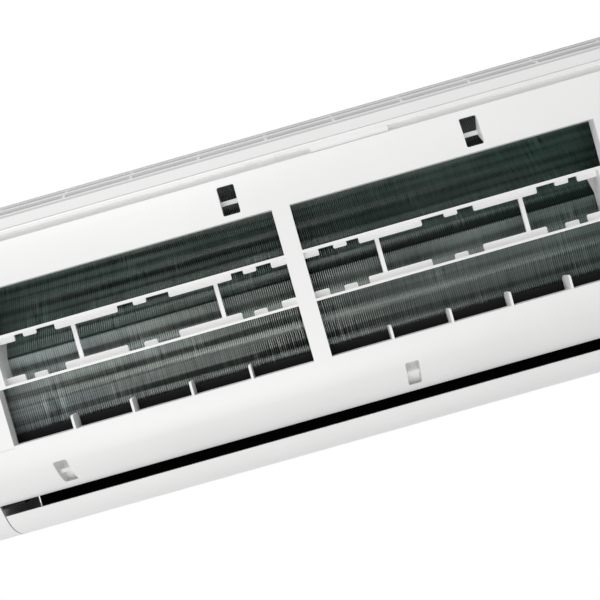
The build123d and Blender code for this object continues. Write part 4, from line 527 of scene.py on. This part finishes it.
def drawn_metal(name, light, dark, stain, gloss, scale):
    """Bare metal with drawing lines and darker, duller stains."""
    material, tree, shader = new_material(name, Metallic=1.0)
    lines = placed(tree, brush_group, Scale=scale).outputs
    tone = mix_colours(tree, spread(tree, lines["Lines"], 0.0, 1.0), dark, light)
    feed(tree, shader,
         Base_Color=mix_colours(tree, spread(tree, lines["Stain"], 0.0, stain_cover), tone, stain),
         Roughness=spread(tree, lines["Stain"], gloss + clean_roughness, gloss + stained_roughness),
         Normal=bump(tree, lines["Lines"], line_strength, line_depth))
    return material


def voronoi(tree, vector, scale, feature):
    """A pattern of irregular cells, as a node's outputs."""
    cells = add(tree, "ShaderNodeTexVoronoi", feature=feature)
    cells.inputs["Scale"].default_value = scale
    link(tree, vector, cells.inputs["Vector"])
    return cells.outputs


def galvanised_sheet(dark, light):
    """Zinc-coated sheet: spangles of slightly different grey and gloss."""
    material, tree, shader = new_material("galvanised_sheet", Metallic=0.9)
    place = object_place(tree)
    spangle = add(tree, "ShaderNodeSeparateColor")
    link(tree, voronoi(tree, place, spangle_scale, "F1")["Color"], spangle.inputs[0])
    cloud = noise(tree, place, 14.0, 4.0)
    level = math_node(tree, "ADD", math_node(tree, "MULTIPLY", spangle.outputs[0], spangle_share),
                      math_node(tree, "MULTIPLY", cloud, 1 - spangle_share))
    feed(tree, shader,
         Base_Color=mix_colours(tree, level, dark, light),
         Roughness=spread(tree, spangle.outputs[1], 0.30, 0.48))
    return material


def circuit_board(mask, tracks):
    """Solder mask with a maze of lighter tracks. The cells are drawn out along Y, through the
    board."""
    material, tree, shader = new_material("solder_mask", Coat_Weight=0.3, Coat_Roughness=0.2)
    place = scaled(tree, object_place(tree), (1, 0.001, 1))
    edge = voronoi(tree, place, track_scale, "DISTANCE_TO_EDGE")["Distance"]
    track = math_node(tree, "LESS_THAN", edge, track_half_width)
    cloud = placed(tree, grain_group).outputs["Cloud"]
    feed(tree, shader,
         Base_Color=mix_colours(tree, track, mask, tracks),
         Roughness=spread(tree, cloud, 0.30, 0.42),
         Normal=bump(tree, track, 0.4, 0.03 * MM))
    return material


def signal_window(dark, light):
    """Smoked window: glossy, with faint handling marks."""
    material, tree, shader = new_material("smoked_window", Coat_Weight=0.5, Coat_Roughness=0.06)
    cloud = placed(tree, grain_group, Cloud_Scale=30.0).outputs["Cloud"]
    feed(tree, shader,
         Base_Color=mix_colours(tree, cloud, dark, light),
         Roughness=spread(tree, cloud, 0.10, 0.22))
    return material


# Plastics: name, light and dark tone, gloss, grain scale and depth, dust, and for some the dust's
# colour and the specular level. The white of the casing has its middle five in white_surface.
white_surface = ((0.90, 0.90, 0.895), (0.865, 0.865, 0.86), 0.42, 1500.0, 0.03 * MM)
white_plastic = moulded_plastic("white_abs", *white_surface, 0.12)
pale_grey_plastic = moulded_plastic(
    "pale_grey_abs", (0.80, 0.80, 0.80), (0.75, 0.75, 0.75), 0.5, 1500.0, 0.03 * MM, 0.15)
dark_plastic = moulded_plastic(
    "black_abs", (0.016, 0.016, 0.018), (0.009, 0.009, 0.010), 0.65, 1100.0, 0.04 * MM, 0.1,
    (0.06, 0.06, 0.055), 0.12)
fan_plastic = moulded_plastic(
    "fan_resin", (0.045, 0.047, 0.052), (0.028, 0.029, 0.032), 0.45, 1200.0, 0.03 * MM, 0.3,
    (0.16, 0.155, 0.145))
grey_plastic = moulded_plastic(
    "grey_resin", (0.52, 0.53, 0.54), (0.44, 0.45, 0.46), 0.5, 1200.0, 0.03 * MM, 0.3)
motor_plastic = moulded_plastic(
    "motor_resin", (0.74, 0.72, 0.66), (0.66, 0.64, 0.58), 0.5, 900.0, 0.05 * MM, 0.4)
component_plastic = moulded_plastic(
    "component_resin", (0.045, 0.045, 0.05), (0.02, 0.02, 0.022), 0.4, 1300.0, 0.02 * MM, 0.3,
    (0.12, 0.12, 0.11))
rubber = moulded_plastic(
    "moulded_rubber", (0.035, 0.035, 0.036), (0.018, 0.018, 0.019), 0.8, 700.0, 0.06 * MM, 0.6,
    (0.14, 0.13, 0.12))
# metals: name, light and dark tone, stain, gloss, scale of the drawing or turning lines
copper = drawn_metal(
    "copper_tube", bright_copper, (0.62, 0.32, 0.20), (0.30, 0.16, 0.10), 0.30, lines_along_x)
brass = drawn_metal(
    "turned_brass", (0.80, 0.62, 0.30), (0.66, 0.50, 0.22), (0.42, 0.30, 0.13), 0.26,
    (900.0, 6.0, 6.0))
steel = drawn_metal(
    "turned_steel", (0.66, 0.66, 0.66), (0.50, 0.50, 0.51), (0.30, 0.29, 0.28), 0.30,
    (900.0, 8.0, 8.0))
galvanised = galvanised_sheet(dark=(0.44, 0.45, 0.47), light=(0.66, 0.67, 0.69))
solder_mask = circuit_board(mask=(0.025, 0.11, 0.05), tracks=(0.05, 0.20, 0.09))
smoked = signal_window(dark=(0.012, 0.012, 0.014), light=(0.03, 0.03, 0.034))

slot_materials = {
    "white_plastic": white_plastic,
    "dark_plastic": dark_plastic,
    "galvanised_steel": galvanised,
    "copper": copper,
    "brass": brass,
    "rubber": rubber,
    "steel": steel,
    "motor_casing": motor_plastic,
    "grey_plastic": grey_plastic,
    "circuit_board": solder_mask,
    "board_components": component_plastic,
    "signal_window": smoked,
}


# ---- pieces from the frame -------------------------------------------------------------
slot_of = {row["node"]: row["material_slot"] for row in frame["record"]["subparts"]}
bodies = frame["record"]["behaviour"]["bodies"]
body_of = {name: body for body, names in bodies.items() for name in names}


def take_over(piece, node, material):
    """A finished piece stands for its node: body, slot, material."""
    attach(piece, body_of[node])
    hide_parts(node)
    piece.data.materials.clear()
    piece.data.materials.append(material)


def cleaned_copy(node, name):
    """A copy of a node's mesh with its doubles merged, flat faces joined and creases kept sharp."""
    mesh = frame["nodes"][node].data.copy()
    mesh.name = name
    work = bmesh.new()
    work.from_mesh(mesh)
    bmesh.ops.remove_doubles(work, verts=work.verts, dist=merge_distance)
    bmesh.ops.dissolve_limit(work, angle_limit=flat_angle, verts=work.verts, edges=work.edges)
    work.to_mesh(mesh)
    work.free()
    if "custom_normal" in mesh.attributes:
        mesh.attributes.remove(mesh.attributes["custom_normal"])
    mesh.set_sharp_from_angle(angle=smooth_angle)
    piece = bpy.data.objects.new(name, mesh)
    bpy.context.scene.collection.objects.link(piece)
    return piece


def soften_edges(piece, width):
    """Rounds the edges that turn by more than the bevel angle."""
    bevel = piece.modifiers.new("soft_edges", "BEVEL")
    bevel.width = width
    bevel.segments = bevel_segments
    bevel.limit_method = "ANGLE"
    bevel.angle_limit = bevel_angle


# ---- fins ------------------------------------------------------------------------------
def fin_pack(name, node, directions, seed):
    """Thin wavy plates across the block. With u through the block from the air side and v along
    it, a plate's point is the corners' bilinear mean at (u, v), and its X is the plate's place
    plus a sine of u times the wave height, its lean and its bends, plus or minus half the
    thickness."""
    points = block_points(node)
    left = points[:, 0].min()
    right = points[:, 0].max()
    air_low, air_high, far_high, far_low = (extreme(points[:, 1:], way) for way in directions)
    columns = fin_waves * fin_steps_per_wave + 1
    rows = fin_rows_up + 1
    u, v = np.meshgrid(np.linspace(0, 1, columns), np.linspace(0, 1, rows))
    near = air_low * (1 - v[..., None]) + air_high * v[..., None]
    far = far_low * (1 - v[..., None]) + far_high * v[..., None]
    side_view = near * (1 - u[..., None]) + far * u[..., None]
    wave = fin_wave_height * np.sin(2 * math.pi * fin_waves * u)
    reach = right - left - 2 * fin_edge_inset
    count = int(reach / fin_pitch)
    randomness = np.random.default_rng(seed)
    places = left + fin_edge_inset + (np.arange(count) + 0.5) * reach / count
    places += randomness.uniform(-fin_jitter, fin_jitter, count)
    lean = randomness.uniform(-fin_jitter, fin_jitter, (count, 1, 1)) * (v - 0.5) * 2
    bends = bent_tips(places, u, v, left, right, randomness)
    x_middle = places[:, None, None] + wave + lean + bends
    sheets = []
    for side in (-1, 1):
        sheet = np.empty((count, rows, columns, 3))
        sheet[..., 0] = np.clip(x_middle + side * fin_thickness / 2, left, right)
        sheet[..., 1:] = side_view
        sheets.append(sheet.reshape(count, -1, 3))
    vertices = np.concatenate(sheets, axis=1)
    piece = mesh_piece(name, vertices.reshape(-1, 3), plate_faces(count, rows, columns))
    height = np.linalg.norm(air_high - air_low)
    up = np.broadcast_to(v.reshape(-1) * height, (count, 2, v.size)).reshape(-1)
    sheet_map(piece, vertices[..., 0].reshape(-1) * sheet_scale, up * sheet_scale)
    return piece


def plate_faces(count, rows, columns):
    """The faces of many plates: each has two sheets of rows times columns points and a rim."""
    per_sheet = rows * columns
    index = np.arange(per_sheet).reshape(rows, columns)
    corners = (index[:-1, :-1], index[:-1, 1:], index[1:, 1:], index[1:, :-1])
    quads = np.stack(corners, -1).reshape(-1, 4)
    border = np.concatenate([index[0, :-1], index[:-1, -1], index[-1, :0:-1], index[:0:-1, 0]])
    following = np.roll(border, -1)
    rim = np.stack([border, following, following + per_sheet, border + per_sheet], -1)
    one = np.concatenate([quads[:, ::-1], quads + per_sheet, rim])
    return (one[None] + (np.arange(count) * 2 * per_sheet)[:, None, None]).reshape(-1, 4)


def bent_tips(places, u, v, left, right, randomness):
    """How far each fin's air edge is bent aside: near each cluster's centre along the coil and up
    the block, a random reach times a bell of both distances, fading with the square of 1 - u."""
    total = np.zeros((len(places),) + u.shape)
    for _ in range(bent_clusters):
        centre = randomness.uniform(left, right)
        height = randomness.uniform(*bent_middles)
        tall = randomness.uniform(*bent_heights)
        reach = randomness.uniform(-bent_reach, bent_reach, len(places))
        near = np.exp(-((places - centre) / bent_spread) ** 2)
        bell = np.exp(-((v - height) / tall) ** 2) * (1 - u) ** 2
        total += (reach * near)[:, None, None] * bell
    return total


def sheet_map(piece, across, up):
    """A UV map from one U and one V for each vertex."""
    mesh = piece.data
    corners = np.empty(len(mesh.loops), np.int32)
    mesh.loops.foreach_get("vertex_index", corners)
    places = np.stack([across[corners], up[corners]], -1).astype(np.float32)
    mesh.uv_layers.new(name="sheet").data.foreach_set("uv", places.ravel())


def mesh_piece(name, vertices, quads):
    """A flat-shaded object from arrays of points and four-cornered faces."""
    mesh = bpy.data.meshes.new(name)
    mesh.vertices.add(len(vertices))
    mesh.vertices.foreach_set("co", np.ascontiguousarray(vertices, np.float32).ravel())
    mesh.loops.add(quads.size)
    mesh.loops.foreach_set("vertex_index", np.ascontiguousarray(quads, np.int32).ravel())
    mesh.polygons.add(len(quads))
    mesh.polygons.foreach_set("loop_start", np.arange(0, quads.size, 4, dtype=np.int32))
    mesh.polygons.foreach_set("loop_total", np.full(len(quads), 4, np.int32))
    mesh.update(calc_edges=True)
    mesh.validate()
    mesh.polygons.foreach_set("use_smooth", np.zeros(len(quads), bool))
    piece = bpy.data.objects.new(name, mesh)
    bpy.context.scene.collection.objects.link(piece)
    return piece


# light and dark colours, tints of the left and the right end; the right end's tint is also painted
# shade, darker where the light falls off
lower_coat = ((0.90, 0.96, 0.92), (0.09, 0.107, 0.10), (0.93, 0.95, 1.0), (0.41, 0.49, 0.47))
upper_coat = ((0.61, 0.73, 0.68), (0.064, 0.082, 0.076), (0.72, 0.82, 0.80), (0.44, 0.62, 0.58))
fin_packs = (
    # name, node, directions of the corners (air low, air high, far high, far low), coat, bands,
    # seed. Bands: first wide dark band up the block, pitch and depth of the bands, rise of the tone
    # with the height as painted light, painted shade at the foot, and the height above which
    # painted shade makes the fins nearly black
    ("fins_lower_front", "coil_lower_front", ((-1, -1), (-1, 1.0), (1, 1), (1, -1)),
     lower_coat, (22.5, 21.5, 1.0, 0.6, 0.9, 1000.0), 11),
    ("fins_upper_front", "coil_upper_front", ((-1, -1), (-0.6, 1.0), (1, 0.7), (1.0, -1.4)),
     upper_coat, (20.4, 23.6, 1.0, 0.35, 0.7, 79.0), 12),
    ("fins_rear", "coil_rear", ((-1, 1), (1, 0.4), (0.6, -1), (-1, -0.4)),
     upper_coat, (20.0, 23.6, 0.9, 0.0, 0.0, 1000.0), 13),
)
for name, node, directions, coat, bands, seed in fin_packs:
    pack = fin_pack(name, node, directions, seed)
    take_over(pack, node, fin_material(name + "_coat", *coat, *bands))

# ---- the other pieces ------------------------------------------------------------------
bevel_widths = {
    "front_frame": 0.35 * MM,
    "filter_rails": 0.3 * MM,
    "panel_clips": 0.2 * MM,
    "top_grille": 0.3 * MM,
    "main_louver": 0.35 * MM,
    "access_cover": 0.3 * MM,
    "pipe_way_cover": 0.3 * MM,
    "emergency_button": 0.3 * MM,
    "rear_chassis": 0.3 * MM,
    "drain_pan": 0.3 * MM,
    "fan_motor": 0.8 * MM,
    "control_box": 0.3 * MM,
    "control_box_cover": 0.2 * MM,
    "terminal_block": 0.3 * MM,
    "board_parts": 0.3 * MM,
    "display_window": 0.2 * MM,
    "wall_plate": 0.15 * MM,
}
own_material = {
    "front_frame": frame_plastic("white_abs_frame", *white_surface),
    "fan_rotor": fan_plastic,
    "fan_hub": rubber,
    "top_grille": pale_grey_plastic,
    "coil_tubes": tubes_in_fins(bright_copper, (0.42, 0.22, 0.14), (0.30, 0.33, 0.31)),
}
finned_nodes = [row[1] for row in fin_packs]

for node in sorted(frame["nodes"]):
    if node in finned_nodes:
        continue
    piece = cleaned_copy(node, node + "_finished")
    take_over(piece, node, own_material.get(node, slot_materials[slot_of[node]]))
    if node in bevel_widths:
        soften_edges(piece, bevel_widths[node])


# ---- stage -----------------------------------------------------------------------------
def studio_floor():
    """A pale floor that fades out away from the object, and lets views from below through."""
    height = cad_low[2] - floor_drop
    square = ((-1, -1), (1, -1), (1, 1), (-1, 1))
    corners = [(x * floor_half, y * floor_half, height) for x, y in square]
    mesh = bpy.data.meshes.new("floor")
    mesh.from_pydata(corners, [], [(0, 1, 2, 3)])
    floor = bpy.data.objects.new("floor", mesh)
    bpy.context.scene.collection.objects.link(floor)
    material, tree, shader = new_material(
        "pale_floor", Base_Color=(0.86, 0.86, 0.86, 1), Roughness=0.9)
    flat = scaled(tree, object_place(tree), (floor_squash, 1, 0))
    away = add(tree, "ShaderNodeVectorMath", operation="LENGTH")
    link(tree, flat, away.inputs[0])
    faded = between(tree, away.outputs["Value"], floor_clear_radius, floor_end_radius,
                    kind="SMOOTHSTEP")
    below = add(tree, "ShaderNodeNewGeometry").outputs["Backfacing"]
    clear = add(tree, "ShaderNodeBsdfTransparent")
    blend = add(tree, "ShaderNodeMixShader")
    link(tree, math_node(tree, "MAXIMUM", faded, below), blend.inputs[0])
    link(tree, shader.outputs[0], blend.inputs[1])
    link(tree, clear.outputs[0], blend.inputs[2])
    link(tree, blend.outputs[0], tree.nodes["Material Output"].inputs["Surface"])
    mesh.materials.append(material)


def studio_world():
    """White to the camera and in reflections, a plain soft fill for the rest."""
    world = bpy.data.worlds.new("studio")
    bpy.context.scene.world = world
    world.use_nodes = True
    tree = world.node_tree
    fill = tree.nodes["Background"]
    fill.inputs["Color"].default_value = (1.0, 1.0, 1.0, 1)
    fill.inputs["Strength"].default_value = fill_strength
    seen = add(tree, "ShaderNodeBackground")
    seen.inputs["Color"].default_value = (1.0, 1.0, 1.0, 1)
    seen.inputs["Strength"].default_value = 1.0
    path = add(tree, "ShaderNodeLightPath").outputs
    direct = math_node(tree, "MAXIMUM", path["Is Camera Ray"], path["Is Glossy Ray"])
    direct = math_node(tree, "MAXIMUM", direct, path["Is Transmission Ray"])
    blend = add(tree, "ShaderNodeMixShader")
    link(tree, direct, blend.inputs[0])
    link(tree, fill.outputs[0], blend.inputs[1])
    link(tree, seen.outputs[0], blend.inputs[2])
    link(tree, blend.outputs[0], tree.nodes["World Output"].inputs["Surface"])


def soft_lamp(name, place, power):
    """A square area lamp turned towards the object: tilted by the angle between straight down and
    the way to the object, then turned about Z to face it."""
    data = bpy.data.lights.new(name, "AREA")
    data.shape = "SQUARE"
    data.size = lamp_size
    data.energy = power
    lamp = bpy.data.objects.new(name, data)
    lamp.location = place
    across, inwards, upwards = np.array(lamp_aim, float) - np.array(place, float)
    tilt = math.atan2(math.hypot(across, inwards), -upwards)
    lamp.rotation_euler = (tilt, 0, math.atan2(inwards, across) - math.pi / 2)
    bpy.context.scene.collection.objects.link(lamp)


def photo_camera():
    """The camera where the photograph was taken from: rolled, then pitched, then turned."""
    data = bpy.data.cameras.new("photo_camera")
    data.lens = camera_lens
    data.sensor_width = sensor_width
    data.sensor_fit = "HORIZONTAL"
    camera = bpy.data.objects.new("photo_camera", data)
    turn = (Matrix.Rotation(math.radians(camera_yaw), 4, "Z")
            @ Matrix.Rotation(math.radians(90 + camera_pitch), 4, "X")
            @ Matrix.Rotation(math.radians(camera_roll), 4, "Z"))
    camera.matrix_world = Matrix.Translation(camera_place) @ turn
    bpy.context.scene.collection.objects.link(camera)
    bpy.context.scene.camera = camera


studio_floor()
studio_world()
for name, place, power in lamps:
    soft_lamp(name, place, power)
photo_camera()
bpy.context.scene.view_settings.view_transform = "Standard"
